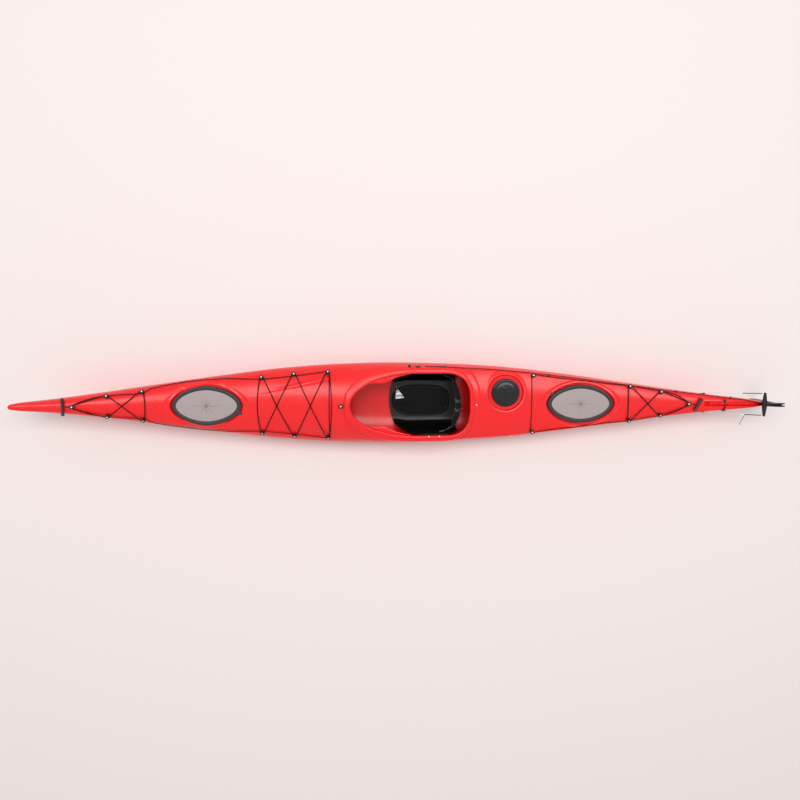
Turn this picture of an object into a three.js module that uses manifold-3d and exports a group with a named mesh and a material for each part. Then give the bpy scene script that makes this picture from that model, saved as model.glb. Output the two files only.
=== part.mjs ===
// A sea kayak, 5 m long, with a stern rudder, as an assembly of separate pieces.
//
// Millimetres. The flat strip of the keel lies on z = 0, the bow points to -X, the stern to +X,
// starboard is +Y and the deck faces +Z. Shares of the hull's length count from the bow tip.

import * as THREE from "three";
import { mergeVertices } from "three/addons/utils/BufferGeometryUtils.js";
import Module from "manifold-3d";

const wasm = await Module();
wasm.setup();

// Clearances
const touchGap = 0.3; // between pieces that touch
const runGap = 0.6; // between pieces that move past each other
const drapeGap = 0.9; // under a cord that follows the faceted deck
const neckGap = 1.3; // between the cords at the neck of a fitting
const overrun = 40; // how far a cutter runs past what it cuts

// Hull
const hullLength = 5040; // that the shares count; the blunt bow stands at bowEndShare
const bowEndShare = 0.0098;
const bowReachShare = 0.506; // share of the length ahead of the origin
const halfBeam = 275;
const hullDepth = 335; // keel strip to the ridge ahead of the cockpit
const wall = 5;
const keelHalfWidth = 40;
const kneeBulge = 12; // height of the raised panel ahead of the cockpit
const crownPower = 2.3; // how flat the deck's arch is across
const beamShares = [
  [0.0098, 0.052], [0.02, 0.09], [0.06, 0.162], [0.12, 0.298], [0.2, 0.506], [0.28, 0.707],
  [0.36, 0.88], [0.44, 0.976], [0.5, 1], [0.56, 0.978], [0.64, 0.905], [0.72, 0.749],
  [0.8, 0.549], [0.88, 0.338], [0.94, 0.2], [0.98, 0.124], [1, 0.065],
];
const keelShares = [
  [0.0098, 0.955], [0.014, 0.85], [0.024, 0.66], [0.042, 0.48], [0.07, 0.31], [0.11, 0.18],
  [0.17, 0.075], [0.25, 0.018], [0.33, 0], [0.7, 0], [0.78, 0.015], [0.86, 0.063],
  [0.91, 0.14], [0.95, 0.27], [0.98, 0.45], [1, 0.66],
];
const ridgeShares = [
  [0, 1.069], [0.0907, 0.967], [0.18, 0.913], [0.2585, 0.896], [0.34, 0.91], [0.4, 0.935],
  [0.44, 0.965], [0.52, 0.93], [0.62, 0.818], [0.7, 0.782], [0.755, 0.764], [0.83, 0.767],
  [0.9, 0.8], [0.95, 0.842], [1, 0.913],
];
const edgeShares = [
  [0, 1.045], [0.0907, 0.866], [0.18, 0.782], [0.2585, 0.737], [0.34, 0.716], [0.44, 0.693],
  [0.62, 0.681], [0.755, 0.672], [0.83, 0.687], [0.9, 0.728], [0.95, 0.776], [1, 0.872],
];
const widestShares = [[0, 0.82], [0.4, 0.72], [0.62, 0.64], [1, 0.72]]; // widest line, keel to edge
const bilgePowers = [
  [0, 1.15], [0.06, 1.25], [0.2, 1.7], [0.36, 2.3], [0.5, 2.6], [0.64, 2.4], [0.8, 1.8],
  [0.94, 1.3], [1, 1.2],
];
const keelWidthShares = [[0, 0.12], [0.1, 0.2], [0.3, 1], [0.7, 1], [0.9, 0.25], [1, 0.15]];
const roundStartShares = [[0, 0.7], [0.44, 0.8], [0.6, 0.9], [1, 0.88]]; // where the edge rounds off
const roundPowers = [[0, 2], [0.44, 2], [0.62, 1.35], [1, 1.35]];
const bulgeShares = [[0.307, 0], [0.36, 0.5], [0.42, 1], [0.52, 1], [0.6, 0]];
const creaseShares = [[0.3, 0.25], [0.38, 0.51], [0.445, 0.74], [0.485, 0.86], [0.52, 0.95]];
const creaseWidthShare = 0.12;
const stationCount = 32;
const stationCrowdingShare = 0.6; // how much closer the stations stand at the two ends
const bilgeSteps = 7;
const roundSteps = 3;
const deckSteps = 5;
const hollowStartShare = 0.03; // the hollow inside the hull
const hollowEndShare = 0.955;

// Bulkheads
const bulkheadThickness = 12;
const bulkheadPlaces = { bow_bulkhead: 0.3353, mid_bulkhead: 0.6225, stern_bulkhead: 0.6915 };

// Cockpit and its coaming
const cockpitStartShare = 0.4452;
const cockpitLength = 801;
const cockpitHalfWidth = 209;
const cockpitFrontLength = 456;
const cockpitRearLength = 197;
const lipFront = 42;
const lipSide = 39;
const lipRear = 31;
const lipThickness = 4.5;
const lipDrop = 18;
const coamingWall = 5.5;
const coamingRoot = 15; // how far the coaming's wall goes below the deck
const rimHeightShare = 1.0925; // the coaming's front above the keel, of the hull's depth
const rimShares = [[-0.05, 1], [0.16, 0.885], [0.46, 0.808], [0.76, 0.79], [1.04, 0.822]];
const cockpitPowers = { front: 2, rear: 3 };
const lipPowers = { front: 2.5, rear: 2.6 };
const braceReach = 33;
const braceThickness = 5;
const braceDrop = 42;
const braceSpanShares = [0.149, 0.507]; // along the cockpit
const braceShares = [[0, 0], [0.146, 0.36], [0.37, 1], [0.516, 0.76], [0.665, 0.42], [0.885, 0.15], [1, 0]];

// Oval hatches
const hatchPlaces = { bow: 0.2585, stern: 0.755 };
const panelHalfLength = 199;
const panelHalfWidth = 104;
const panelThickness = 4;
const panelDome = 3;
const hatchRimWidth = 26; // rubber rim around the panel
const hatchRimRise = 6;
const hatchRimStep = 3; // from the panel to the top of the rim's inner bead
const hatchRimBevel = 1;
const hatchRubber = 3;
const hatchDepth = 26; // deck ridge to the floor of the recess
const hatchCollarHeight = 18;
const hatchCollarWall = 6;
const hatchSkirtWall = 12;
const hatchRecessMargin = 14;
const ovalPower = 1.8;
const ovalSteps = 24;

// Round day hatch
const dayHatchShare = 0.6527;
const dayHatchOffset = 77;
const dayLidRadius = 94;
const dayLidEdge = 12;
const dayLidDome = 7;
const dayGripHeight = 6;
const dayGripWidth = 15;
const dayRecessRadius = 122;
const dayRecessDepth = 22;
const dayOpeningRadius = 80;
const dayFrameWall = 5;
const dayFlangeWidth = 14;
const dayFlangeThickness = 4;
const dayFrameDepth = 24;
const daySealWidth = 4;
const daySealHeight = 2.5;
const dayPlugDepth = 15;

// Deck fittings, a small bollard each
const fittingBaseRadius = 14;
const fittingBaseHeight = 3;
const fittingNeckRadius = 6;
const fittingCapRadius = 14;
const fittingCapHeight = 5;
const fittingSides = 10;
const footSamples = 120; // points of the deck looked at under a fitting
const fittingPlaces = {
  bow_1: [0.0898, 0], bow_2: [0.1322, 0.65], bow_3: [0.1767, 0.71],
  fore_1: [0.3298, 0.786], fore_2: [0.3719, 0.805], fore_3: [0.4162, 0.806],
  ridge: [0.4332, 0],
  aft_1: [0.6899, 0.84], aft_2: [0.822, 0.81], aft_3: [0.8646, 0.725], stern: [0.9016, 0],
};

// Cords
const lineDiameter = 5;
const bungeeDiameter = 6;
const uphaulDiameter = 4;
const cableDiameter = 3;
const cordSides = 6;
const sampleStep = 9; // how closely the deck under a cord is looked at
const bowStep = 45; // longest straight stretch of a cord that bows sideways
const turnStep = 0.6; // radians between points where a cord turns round a neck
const crossingRise = 7; // a cord's climb over the one that it crosses
const crossingReach = 9; // how far each side of the crossing it stays up
const rideReach = 80; // how far from a neck a bungee lies on top of the line
const slack = 0.5; // how far a cord may stray from its taut course
const lineBow = 9; // where a line runs beside a bungee, it bows this far away
const crossBow = 16;
const edgeRoute = [[0.1861, 0.85], [0.2087, 0.92], [0.2317, 0.94], [0.2496, 0.93], [0.2832, 0.89]];
const sternEdgeRoute = [[0.72, 0.86], [0.755, 0.87], [0.79, 0.86]];

// Toggles
const toggleRadius = 11;
const toggleWaistRadius = 9;
const bowToggleLength = 117;
const sternToggleLength = 99;
const bowToggleShare = 0.0783;
const sternTogglePlace = [0.9155, -0.1];
const sternToggleTurn = 0.5; // radians off square
const toggleCordDiameter = 5;
const toggleSlotHalfWidth = 18;
const toggleSlotDepth = 9;

// Rudder groove in the stern deck
const grooveStartShare = 0.9234;
const grooveHalfWidth = 17;
const grooveFloorHalfWidth = 7;
const grooveDepth = 45;
const grooveRampShare = 0.012;

// Rudder
const bracketLength = 22;
const bracketWidth = 24;
const bracketFootShare = 0.7045; // heights above the keel, of the hull's depth
const bracketTopShare = 0.9433;
const pinRadius = 4;
const yokeThickness = 14;
const yokeHalfSpan = 82;
const yokeRootHalf = 16;
const yokeTipHalf = 7;
const headLength = 139; // from the pin to the aft end of the cheeks
const headWidth = 24;
const headHeight = 45;
const bladeThickness = 9.6;
const bladePivotSetback = 40; // from the aft end of the cheeks
const bladePivotDrop = 17; // below the top of the cheeks
const bladeNeckHalf = 12;
const bladeNeckLength = 130;
const bladeReach = 335; // pivot to the blade's tip
const bladeLead = 60; // foil ahead of the pivot
const bladeTrail = 29; // foil behind the pivot
const bladeTaperShare = 0.82;
const boltRadius = 4;
const boltHeadRadius = 8;
const boltHeadHeight = 3.5;
const headWebLength = 16;

// Foot braces
const railLength = 350;
const railHeight = 22;
const railThickness = 10;
const railHeightShare = 0.373; // height of the rail's middle in the hull
const railStartShare = 0.349;
const railBossLength = 30;
const pedalSetback = 190; // from the rail's forward end
const pedalReach = 68;
const pedalThickness = 12;
const pedalHeight = 92;
const pedalShoeLength = 62;
const pedalShoeThickness = 9;
const railInset = 12; // least distance from the rail to the hull

// Seat
const seatStartShare = 0.4988;
const seatLength = 436;
const seatFloor = 16; // underside of the pan above the hull's inner floor
const seatHalfWidth = 150;
const seatWall = 6;
const seatCheekGap = 1.2;
const seatFoot = 11;
const seatFootHalfWidth = 32;
const seatStations = 8;
const cheekShares = [[0, 0.3], [0.3, 0.5], [0.45, 0.985], [0.8, 0.985], [1, 0.7]];
const seatWidthShares = [[0, 0.86], [0.25, 1], [1, 0.97]];
const padInset = 8;
const padThickness = 26;
const padCrown = 14;
const padPommel = 20;
const padRings = 8;
const padSteps = 32;
const padSquarePower = 3.2;
const bandHeightShare = 33 / 67; // of the hull's depth, as its foot is
const bandHeight = hullDepth * bandHeightShare;
const bandHalfWidth = 168;
const bandThickness = 30;
const bandFootShare = 104 / 335;
const bandFoot = hullDepth * bandFootShare;
const bandSetShare = 1.0288; // from the seat's forward end, of the seat's length
const bandWrap = 46; // how far the ends of the backband curl forward
const strapWidth = 25;
const strapThickness = 2.6;
const strapLength = 80;

// Rudder cables and the cord that lifts the blade
const cableRoute = [
  // share of the hull's length, share of the half-beam, share of the hull's depth
  [0.428, 0.7, 0.4], [0.46, 0.88, 0.47], [0.5, 0.885, 0.5], [0.6, 0.88, 0.51], [0.66, 0.86, 0.52],
  [0.7, 0.86, 0.54], [0.78, 0.84, 0.55], [0.86, 0.82, 0.56], [0.915, 0.82, 0.6],
];
const cableTunnel = 1.6; // clearance round the cable where it goes through a wall
const cableExitShares = [0.94, 1.25, 0.66];
const uphaulRoute = [
  [0.545, 0.936], [0.58, 0.925], [0.63, 0.92], [0.68, 0.915], [0.73, 0.91], [0.78, 0.905],
  [0.83, 0.9], [0.88, 0.89], [0.92, 0.88], [0.95, 0.84], [0.975, 0.8],
];
const cleatShare = 0.535;
const cleatBeamShare = 0.9;
const cleatLength = 46;
const cleatWidth = 12;
const cleatHeight = 15;
const cleatHorn = 5;
const keeperShare = 0.9515;
const keeperHalfSpanShare = 0.86;

const finishes = {
  polyethylene: { color: 0xe8343a, roughness: 0.35, metalness: 0 },
  bulkhead: { color: 0x2a2b2d, roughness: 0.8, metalness: 0 },
  rubber: { color: 0x26272a, roughness: 0.7, metalness: 0 },
  panel: { color: 0xb3a8a8, roughness: 0.55, metalness: 0 },
  gloss: { color: 0x17181a, roughness: 0.25, metalness: 0 },
  nylon: { color: 0x1c1c1e, roughness: 0.5, metalness: 0 },
  foam: { color: 0x202022, roughness: 0.85, metalness: 0 },
  webbing: { color: 0x4a4b4d, roughness: 0.8, metalness: 0 },
  cord: { color: 0x1f1616, roughness: 0.85, metalness: 0 },
  steel: { color: 0xb9bcc0, roughness: 0.35, metalness: 1 },
  aluminium: { color: 0x8d9094, roughness: 0.4, metalness: 1 },
};

const up = new THREE.Vector3(0, 0, 1);
const bowX = -hullLength * bowReachShare;
const sternX = bowX + hullLength;
const kayak = new THREE.Group();

const at = (x, y, z) => new THREE.Vector3(x, y, z);
const xAt = (share) => bowX + hullLength * share;
const shareAt = (x) => (x - bowX) / hullLength;
const mix = THREE.MathUtils.lerp;
const smooth = (t) => THREE.MathUtils.smoothstep(t, 0, 1);

// A smooth curve without overshoot through the rows [place, value] of a table.
function curve(table, place) {
  const last = table.length - 1;
  const p = THREE.MathUtils.clamp(place, table[0][0], table[last][0]);
  let row = 0;
  while (row < last - 1 && p > table[row + 1][0]) row++;
  const step = (j) => table[j + 1][0] - table[j][0];
  const slope = (j) => (table[j + 1][1] - table[j][1]) / step(j);
  const tangent = (j) => {
    if (j === 0) return slope(0);
    if (j === last) return slope(last - 1);
    if (slope(j - 1) * slope(j) <= 0) return 0;
    const near = 2 * step(j) + step(j - 1);
    const far = step(j) + 2 * step(j - 1);
    return (near + far) / (near / slope(j - 1) + far / slope(j));
  };
  const h = step(row);
  const t = (p - table[row][0]) / h;
  return (
    table[row][1] * (1 + 2 * t) * (1 - t) ** 2 +
    h * tangent(row) * t * (1 - t) ** 2 +
    table[row + 1][1] * t * t * (3 - 2 * t) +
    h * tangent(row + 1) * t * t * (t - 1)
  );
}

// The geometry with its faces turned out, as a closed solid of manifold-3d.
function solid(geometry) {
  const bare = geometry.index ? geometry.toNonIndexed() : geometry.clone();
  for (const name of Object.keys(bare.attributes)) {
    if (name !== "position") bare.deleteAttribute(name);
  }
  const merged = mergeVertices(bare);
  const build = (triVerts) =>
    new wasm.Manifold(
      new wasm.Mesh({ numProp: 3, vertProperties: merged.attributes.position.array, triVerts }),
    );
  const faces = new Uint32Array(merged.index.array);
  const made = build(faces);
  return made.volume() > 0 ? made : build(faces.reverse());
}

function geometryOf(body) {
  const mesh = body.getMesh();
  const geometry = new THREE.BufferGeometry();
  const places = new Float32Array(mesh.numVert * 3);
  for (let i = 0; i < mesh.numVert; i++) {
    places.set(mesh.vertProperties.subarray(i * mesh.numProp, i * mesh.numProp + 3), i * 3);
  }
  geometry.setAttribute("position", new THREE.BufferAttribute(places, 3));
  geometry.setIndex(new THREE.BufferAttribute(mesh.triVerts, 1));
  return geometry;
}

// Adds one named piece, given as a geometry or a solid.
function piece(name, shape, finish) {
  const body = shape.isBufferGeometry ? solid(shape) : shape;
  const mesh = new THREE.Mesh(geometryOf(body), new THREE.MeshStandardMaterial(finishes[finish]));
  mesh.name = name;
  kayak.add(mesh);
  return mesh;
}

// Joins rings of equal counts into a skin. Its ends are closed by a fan, or the last ring meets the first.
function loft(rings, { loop = false } = {}) {
  const count = rings[0].length;
  const places = rings.flat().flatMap((p) => [p.x, p.y, p.z]);
  const faces = [];
  const spans = loop ? rings.length : rings.length - 1;
  for (let i = 0; i < spans; i++) {
    const here = i * count;
    const next = ((i + 1) % rings.length) * count;
    for (let j = 0; j < count; j++) {
      const k = (j + 1) % count;
      faces.push(here + j, here + k, next + k, here + j, next + k, next + j);
    }
  }
  const close = (ring, start, turned) => {
    const middle = ring.reduce((sum, p) => sum.add(p), at(0, 0, 0)).divideScalar(count);
    const hub = places.length / 3;
    places.push(middle.x, middle.y, middle.z);
    for (let j = 0; j < count; j++) {
      const k = (j + 1) % count;
      faces.push(hub, start + (turned ? k : j), start + (turned ? j : k));
    }
  };
  if (!loop) {
    close(rings[0], 0, true);
    close(rings[rings.length - 1], (rings.length - 1) * count, false);
  }
  const geometry = new THREE.BufferGeometry();
  geometry.setAttribute("position", new THREE.Float32BufferAttribute(places, 3));
  geometry.setIndex(faces);
  return geometry;
}

// An upright prism over an outline of points.
function prism(outline, low, high) {
  const shape = new THREE.Shape(outline.map((p) => new THREE.Vector2(p.x, p.y)));
  return new THREE.ExtrudeGeometry(shape, { depth: high - low, bevelEnabled: false }).translate(0, 0, low);
}

function box(lowX, highX, lowY, highY, lowZ, highZ) {
  return new THREE.BoxGeometry(highX - lowX, highY - lowY, highZ - lowZ).translate(
    (lowX + highX) / 2,
    (lowY + highY) / 2,
    (lowZ + highZ) / 2,
  );
}

// A pointed oval round a centre, with its half length and half width.
function oval(x, y, halfLength, halfWidth) {
  const points = [];
  for (let i = 0; i < ovalSteps; i++) {
    const turn = (2 * Math.PI * i) / ovalSteps;
    const c = Math.cos(turn);
    const s = Math.sin(turn);
    points.push({
      x: x + halfLength * Math.sign(c) * Math.abs(c) ** (2 / ovalPower),
      y: y + halfWidth * Math.sign(s) * Math.abs(s) ** (2 / ovalPower),
    });
  }
  return points;
}

// A solid of stacked ovals: each row of the profile is [inset from the outline, height].
function stackedOvals(x, halfLength, halfWidth, profile) {
  return loft(
    profile.map(([inset, z]) =>
      oval(x, 0, halfLength - inset, halfWidth - inset).map((p) => at(p.x, p.y, z)),
    ),
  );
}

function turned(profile, sides) {
  const points = profile.map(([r, z]) => new THREE.Vector2(r, z));
  return new THREE.LatheGeometry(points, sides).rotateX(Math.PI / 2);
}

// A cord's tube through its points, with mitred rings.
function tube(points, diameter) {
  const last = points.length - 1;
  return loft(
    points.map((p, i) => {
      const along = points[Math.min(i + 1, last)].clone().sub(points[Math.max(i - 1, 0)]).normalize();
      const across = along.clone().cross(up).normalize();
      const over = across.clone().cross(along);
      return Array.from({ length: cordSides }, (_, j) => {
        const turn = (2 * Math.PI * j) / cordSides;
        return p
          .clone()
          .addScaledVector(across, (diameter / 2) * Math.cos(turn))
          .addScaledVector(over, (diameter / 2) * Math.sin(turn));
      });
    }),
  );
}

// Half-beam, heights and shape numbers of the hull's section at a share of its length.
function sectionSizes(share, inset) {
  const beam = halfBeam * curve(beamShares, share) - inset;
  const keel = hullDepth * curve(keelShares, share) + inset;
  const edge = hullDepth * curve(edgeShares, share) - inset;
  const keelHalf = keelHalfWidth * curve(keelWidthShares, share);
  return {
    beam,
    keel,
    edge,
    ridge: hullDepth * curve(ridgeShares, share) - inset,
    widest: mix(keel, edge, curve(widestShares, share)),
    keelHalf: Math.min(Math.max(keelHalf - inset, keelHalf / 2), beam / 2),
    bilge: curve(bilgePowers, share),
    roundStart: curve(roundStartShares, share),
    roundPower: curve(roundPowers, share),
    bulge: kneeBulge * curve(bulgeShares, share),
    crease: curve(creaseShares, share),
  };
}

// Height of the deck at a share of the half-beam: a rising edge, an arch and the raised knee panel.
function deckHeight(s, across, rise) {
  const arch = (s.ridge - s.edge) * (1 - across ** crownPower);
  const panel = s.bulge * smooth((s.crease - across) / creaseWidthShare + 0.5);
  return s.widest + (s.edge - s.widest) * rise + arch + panel;
}

// The deck's height at a point of the plan.
function deckAt(x, y) {
  const s = sectionSizes(shareAt(x), 0);
  const across = Math.min(Math.abs(y) / s.beam, 1);
  const t = Math.min((1 - across) / (1 - s.roundStart), 1);
  return deckHeight(s, across, (1 - (1 - t) ** s.roundPower) ** (1 / s.roundPower));
}

// The hull's section as a ring: from the keel up the starboard side, over the deck and down to port.
function hullRing(share, inset) {
  const s = sectionSizes(share, inset);
  const half = [];
  for (let i = 0; i <= bilgeSteps; i++) {
    const turn = (Math.PI / 2) * (i / bilgeSteps);
    const out = Math.sin(turn) ** (2 / s.bilge);
    const drop = Math.cos(turn) ** (2 / s.bilge);
    half.push([mix(s.keelHalf, s.beam, out), mix(s.widest, s.keel, drop)]);
  }
  for (let i = 1; i <= roundSteps; i++) {
    const turn = (Math.PI / 2) * (i / roundSteps);
    const across = 1 - (1 - s.roundStart) * (1 - Math.cos(turn) ** (2 / s.roundPower));
    half.push([s.beam * across, deckHeight(s, across, Math.sin(turn) ** (2 / s.roundPower))]);
  }
  for (let i = 1; i <= deckSteps; i++) {
    const across = s.roundStart * (1 - i / deckSteps);
    half.push([s.beam * across, deckHeight(s, across, 1)]);
  }
  const x = xAt(share);
  const starboard = half.map(([y, z]) => at(x, y, z));
  const port = half.slice(0, -1).reverse().map(([y, z]) => at(x, -y, z));
  return [...starboard, ...port];
}

const stations = Array.from({ length: stationCount + 1 }, (_, i) => {
  const t = i / stationCount;
  return Math.max(t - (stationCrowdingShare * Math.sin(2 * Math.PI * t)) / (2 * Math.PI), bowEndShare);
});

// The room inside the hull, drawn in from the outer skin by an inset.
function hollow(inset, fromShare = hollowStartShare, toShare = hollowEndShare) {
  const inside = stations.filter((s) => s > fromShare && s < toShare);
  return solid(loft([fromShare, ...inside, toShare].map((s) => hullRing(s, inset))));
}

// One half of the cockpit's outline, from its forward end to its after end.
function cockpitSide(front, side, rear, powers) {
  const start = xAt(cockpitStartShare);
  const frontMiddle = start + cockpitFrontLength;
  const rearMiddle = start + cockpitLength - cockpitRearLength;
  const frontSteps = 7;
  const rearSteps = 6;
  const points = [];
  for (let i = 0; i <= frontSteps; i++) {
    const turn = (Math.PI / 2) * (i / frontSteps);
    points.push({
      x: frontMiddle - (cockpitFrontLength + front) * Math.cos(turn) ** (2 / powers.front),
      y: (cockpitHalfWidth + side) * Math.sin(turn) ** (2 / powers.front),
    });
  }
  for (let i = 0; i <= rearSteps; i++) {
    const turn = (Math.PI / 2) * (i / rearSteps);
    points.push({
      x: rearMiddle + (cockpitRearLength + rear) * Math.sin(turn) ** (2 / powers.rear),
      y: (cockpitHalfWidth + side) * Math.cos(turn) ** (2 / powers.rear),
    });
  }
  return points;
}

function bothSides(half) {
  return [...half, ...half.slice(1, -1).reverse().map((p) => ({ x: p.x, y: -p.y }))];
}

const openingHalf = cockpitSide(0, 0, 0, cockpitPowers);
const rimAt = (x) => {
  const along = (x - xAt(cockpitStartShare)) / cockpitLength;
  return hullDepth * rimHeightShare * curve(rimShares, along);
};

// The coaming: a wall round the cockpit with a lip that turns out and down for the spray deck.
function coaming() {
  const inner = bothSides(openingHalf);
  const outer = bothSides(cockpitSide(lipFront, lipSide, lipRear, lipPowers));
  return loft(
    inner.map((a, i) => {
      const reach = Math.hypot(outer[i].x - a.x, outer[i].y - a.y);
      const out = { x: (outer[i].x - a.x) / reach, y: (outer[i].y - a.y) / reach };
      const foot = deckAt(a.x + out.x * coamingWall, a.y + out.y * coamingWall) - coamingRoot;
      const top = rimAt(a.x);
      const profile = [
        [0, foot],
        [0, top - lipThickness * 2],
        [lipThickness, top - lipThickness / 2],
        [reach / 4, top],
        [reach * 0.7, top - lipThickness],
        [reach - lipThickness / 2, top - lipDrop / 2],
        [reach, top - lipDrop],
        [reach - lipThickness, top - lipDrop],
        [reach - lipThickness * 1.3, top - lipDrop / 2 - lipThickness / 2],
        [reach * 0.65, top - lipThickness * 2.2],
        [coamingWall + lipThickness, top - lipThickness * 1.8],
        [coamingWall, top - lipThickness * 3],
        [coamingWall, foot],
      ];
      return profile.map(([d, z]) => at(a.x + out.x * d, a.y + out.y * d, z));
    }),
    { loop: true },
  );
}

// The moulded ledge that a paddler's thigh presses up against.
function thighBrace(side) {
  const start = xAt(cockpitStartShare);
  const [from, to] = braceSpanShares;
  const edge = (x) => {
    const front = (start + cockpitFrontLength - x) / cockpitFrontLength;
    return cockpitHalfWidth * Math.sqrt(1 - Math.max(front, 0) ** 2);
  };
  const count = 8;
  return loft(
    Array.from({ length: count + 1 }, (_, i) => {
      const x = start + cockpitLength * mix(from, to, i / count);
      const out = edge(x) + coamingWall / 2;
      const inside = out - coamingWall - braceReach * curve(braceShares, i / count);
      const high = Math.max(rimAt(x) - braceDrop, deckAt(x, out) - coamingRoot + braceThickness);
      const low = high - braceThickness;
      return [
        at(x, side * out, low), at(x, side * inside, low),
        at(x, side * inside, high), at(x, side * out, high),
      ];
    }),
  );
}

// Sizes of an oval hatch: where its recess lies and how high its floor and collar stand.
function hatchSizes(share) {
  const x = xAt(share);
  const floor = deckAt(x, 0) - hatchDepth;
  const cover = [panelHalfLength + hatchRimWidth, panelHalfWidth + hatchRimWidth];
  const recess = cover.map((half) => half + hatchRecessMargin);
  return { x, floor, recess, cover, collarTop: floor + hatchCollarHeight };
}
const hatches = Object.fromEntries(
  Object.entries(hatchPlaces).map(([name, share]) => [name, hatchSizes(share)]),
);

const dayX = xAt(dayHatchShare);
const dayFloor = deckAt(dayX, 0) - dayRecessDepth;

const circle = (x, y, radius) =>
  Array.from({ length: ovalSteps }, (_, i) => ({
    x: x + radius * Math.cos((2 * Math.PI * i) / ovalSteps),
    y: y + radius * Math.sin((2 * Math.PI * i) / ovalSteps),
  }));

// The groove in the stern deck, grown on all sides by a margin.
function groove(margin) {
  const steps = 8;
  const flare = (grooveHalfWidth - grooveFloorHalfWidth) / grooveDepth;
  return solid(
    loft(
      Array.from({ length: steps + 1 }, (_, i) => {
        const share = mix(grooveStartShare, 1, i / steps);
        const x = i === steps ? sternX + overrun : xAt(share) - (i === 0 ? margin : 0);
        const ridge = deckAt(xAt(share), 0);
        const depth = grooveDepth * Math.min((share - grooveStartShare) / grooveRampShare, 1);
        const floor = ridge - depth - margin;
        const top = ridge + overrun;
        const low = grooveFloorHalfWidth + flare * (grooveDepth - depth) + margin;
        const high = low + flare * (top - floor);
        return [at(x, low, floor), at(x, high, top), at(x, -high, top), at(x, -low, floor)];
      }),
    ),
  );
}

const toggleX = xAt(sternTogglePlace[0]);

// The slot across the stern deck that the toggle lies in, grown by a margin.
function toggleSlot(margin) {
  const half = toggleSlotHalfWidth + margin;
  const slot = box(-half, half, -halfBeam, halfBeam, 0, hullDepth);
  const floor = deckAt(toggleX, 0) - toggleSlotDepth - margin;
  return solid(slot.rotateZ(-sternToggleTurn).translate(toggleX, 0, floor));
}

// Where a rudder cable runs: inside the hull from the pedal, out through the side, then to the yoke.
function cableLine(side) {
  const pedalEnd = at(
    railStart + pedalSetback + pedalShoeLength + touchGap,
    side * (railInner - pedalShoeThickness / 2 - touchGap),
    railMiddle,
  );
  const inside = cableRoute.map(([s, across, height]) =>
    at(xAt(s), side * halfBeam * curve(beamShares, s) * across, hullDepth * height),
  );
  const [s, across, height] = cableExitShares;
  const outside = at(xAt(s), side * halfBeam * curve(beamShares, s) * across, hullDepth * height);
  const yokeHold = yokeHalfSpan - yokeTipHalf;
  const along = (yokeHold - headWidth / 2) / (yokeHalfSpan - headWidth / 2);
  const armHalf = mix(yokeRootHalf, yokeTipHalf, along);
  const yokeEnd = at(pinX - armHalf - drapeGap, side * yokeHold, yokeFloor + yokeThickness / 2);
  return [pedalEnd, ...inside, outside, yokeEnd];
}

const railStart = xAt(railStartShare);
const railMiddle = hullDepth * railHeightShare;
const railOuter = halfBeam * curve(beamShares, railStartShare) * 0.93 - wall - railInset;
const railInner = railOuter - railThickness;
const pinX = sternX + bracketLength / 2;
const bracketFoot = hullDepth * bracketFootShare;
const bracketTop = hullDepth * bracketTopShare;
const yokeFloor = bracketTop + runGap;
const sides = { port: -1, starboard: 1 };
const cables = Object.fromEntries(Object.entries(sides).map(([name, side]) => [name, cableLine(side)]));
const tunnels = Object.values(cables).map((line) => solid(tube(line, cableDiameter + 2 * cableTunnel)));

// The moulded hull and deck in one piece, with its coaming, hatch collars, recesses and groove.
function hullShell() {
  const top = hullDepth + overrun;
  const half = hullDepth / 2;
  const ovalOf = (h, [a, b]) => oval(h.x, 0, a, b);
  const shrink = ([a, b], by) => [a - by, b - by];
  let outside = solid(loft(stations.map((s) => hullRing(s, 0))));
  let inside = hollow(wall);
  for (const h of Object.values(hatches)) {
    const grown = shrink(h.recess, -wall);
    outside = outside.add(solid(prism(ovalOf(h, h.recess), half, h.floor)));
    outside = outside.subtract(solid(prism(ovalOf(h, h.recess), h.floor, top)));
    inside = inside.subtract(solid(prism(ovalOf(h, grown), h.floor - wall, top)));
  }
  outside = outside.add(solid(prism(circle(dayX, dayHatchOffset, dayRecessRadius), half, dayFloor)));
  outside = outside.subtract(solid(prism(circle(dayX, dayHatchOffset, dayRecessRadius), dayFloor, top)));
  inside = inside.subtract(
    solid(prism(circle(dayX, dayHatchOffset, dayRecessRadius + wall), dayFloor - wall, top)),
  );
  outside = outside.subtract(groove(0)).subtract(toggleSlot(0));
  inside = inside.subtract(groove(wall)).subtract(toggleSlot(wall));
  let shell = outside.subtract(inside);
  for (const h of Object.values(hatches)) {
    const collar = shrink(h.cover, hatchSkirtWall + runGap);
    const opening = shrink(collar, hatchCollarWall);
    shell = shell.add(solid(prism(ovalOf(h, collar), h.floor - wall / 2, h.collarTop)));
    shell = shell.subtract(solid(prism(ovalOf(h, opening), half, top)));
  }
  shell = shell.subtract(solid(prism(circle(dayX, dayHatchOffset, dayOpeningRadius), half, top)));
  const cut = cockpitSide(coamingWall / 2, coamingWall / 2, coamingWall / 2, cockpitPowers);
  shell = shell.subtract(solid(prism(bothSides(cut), half, top)));
  shell = shell.add(solid(coaming()));
  for (const side of Object.values(sides)) shell = shell.add(solid(thighBrace(side)));
  for (const tunnel of tunnels) shell = shell.subtract(tunnel);
  return shell;
}

const hull = piece("hull_shell", hullShell(), "polyethylene");

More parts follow.
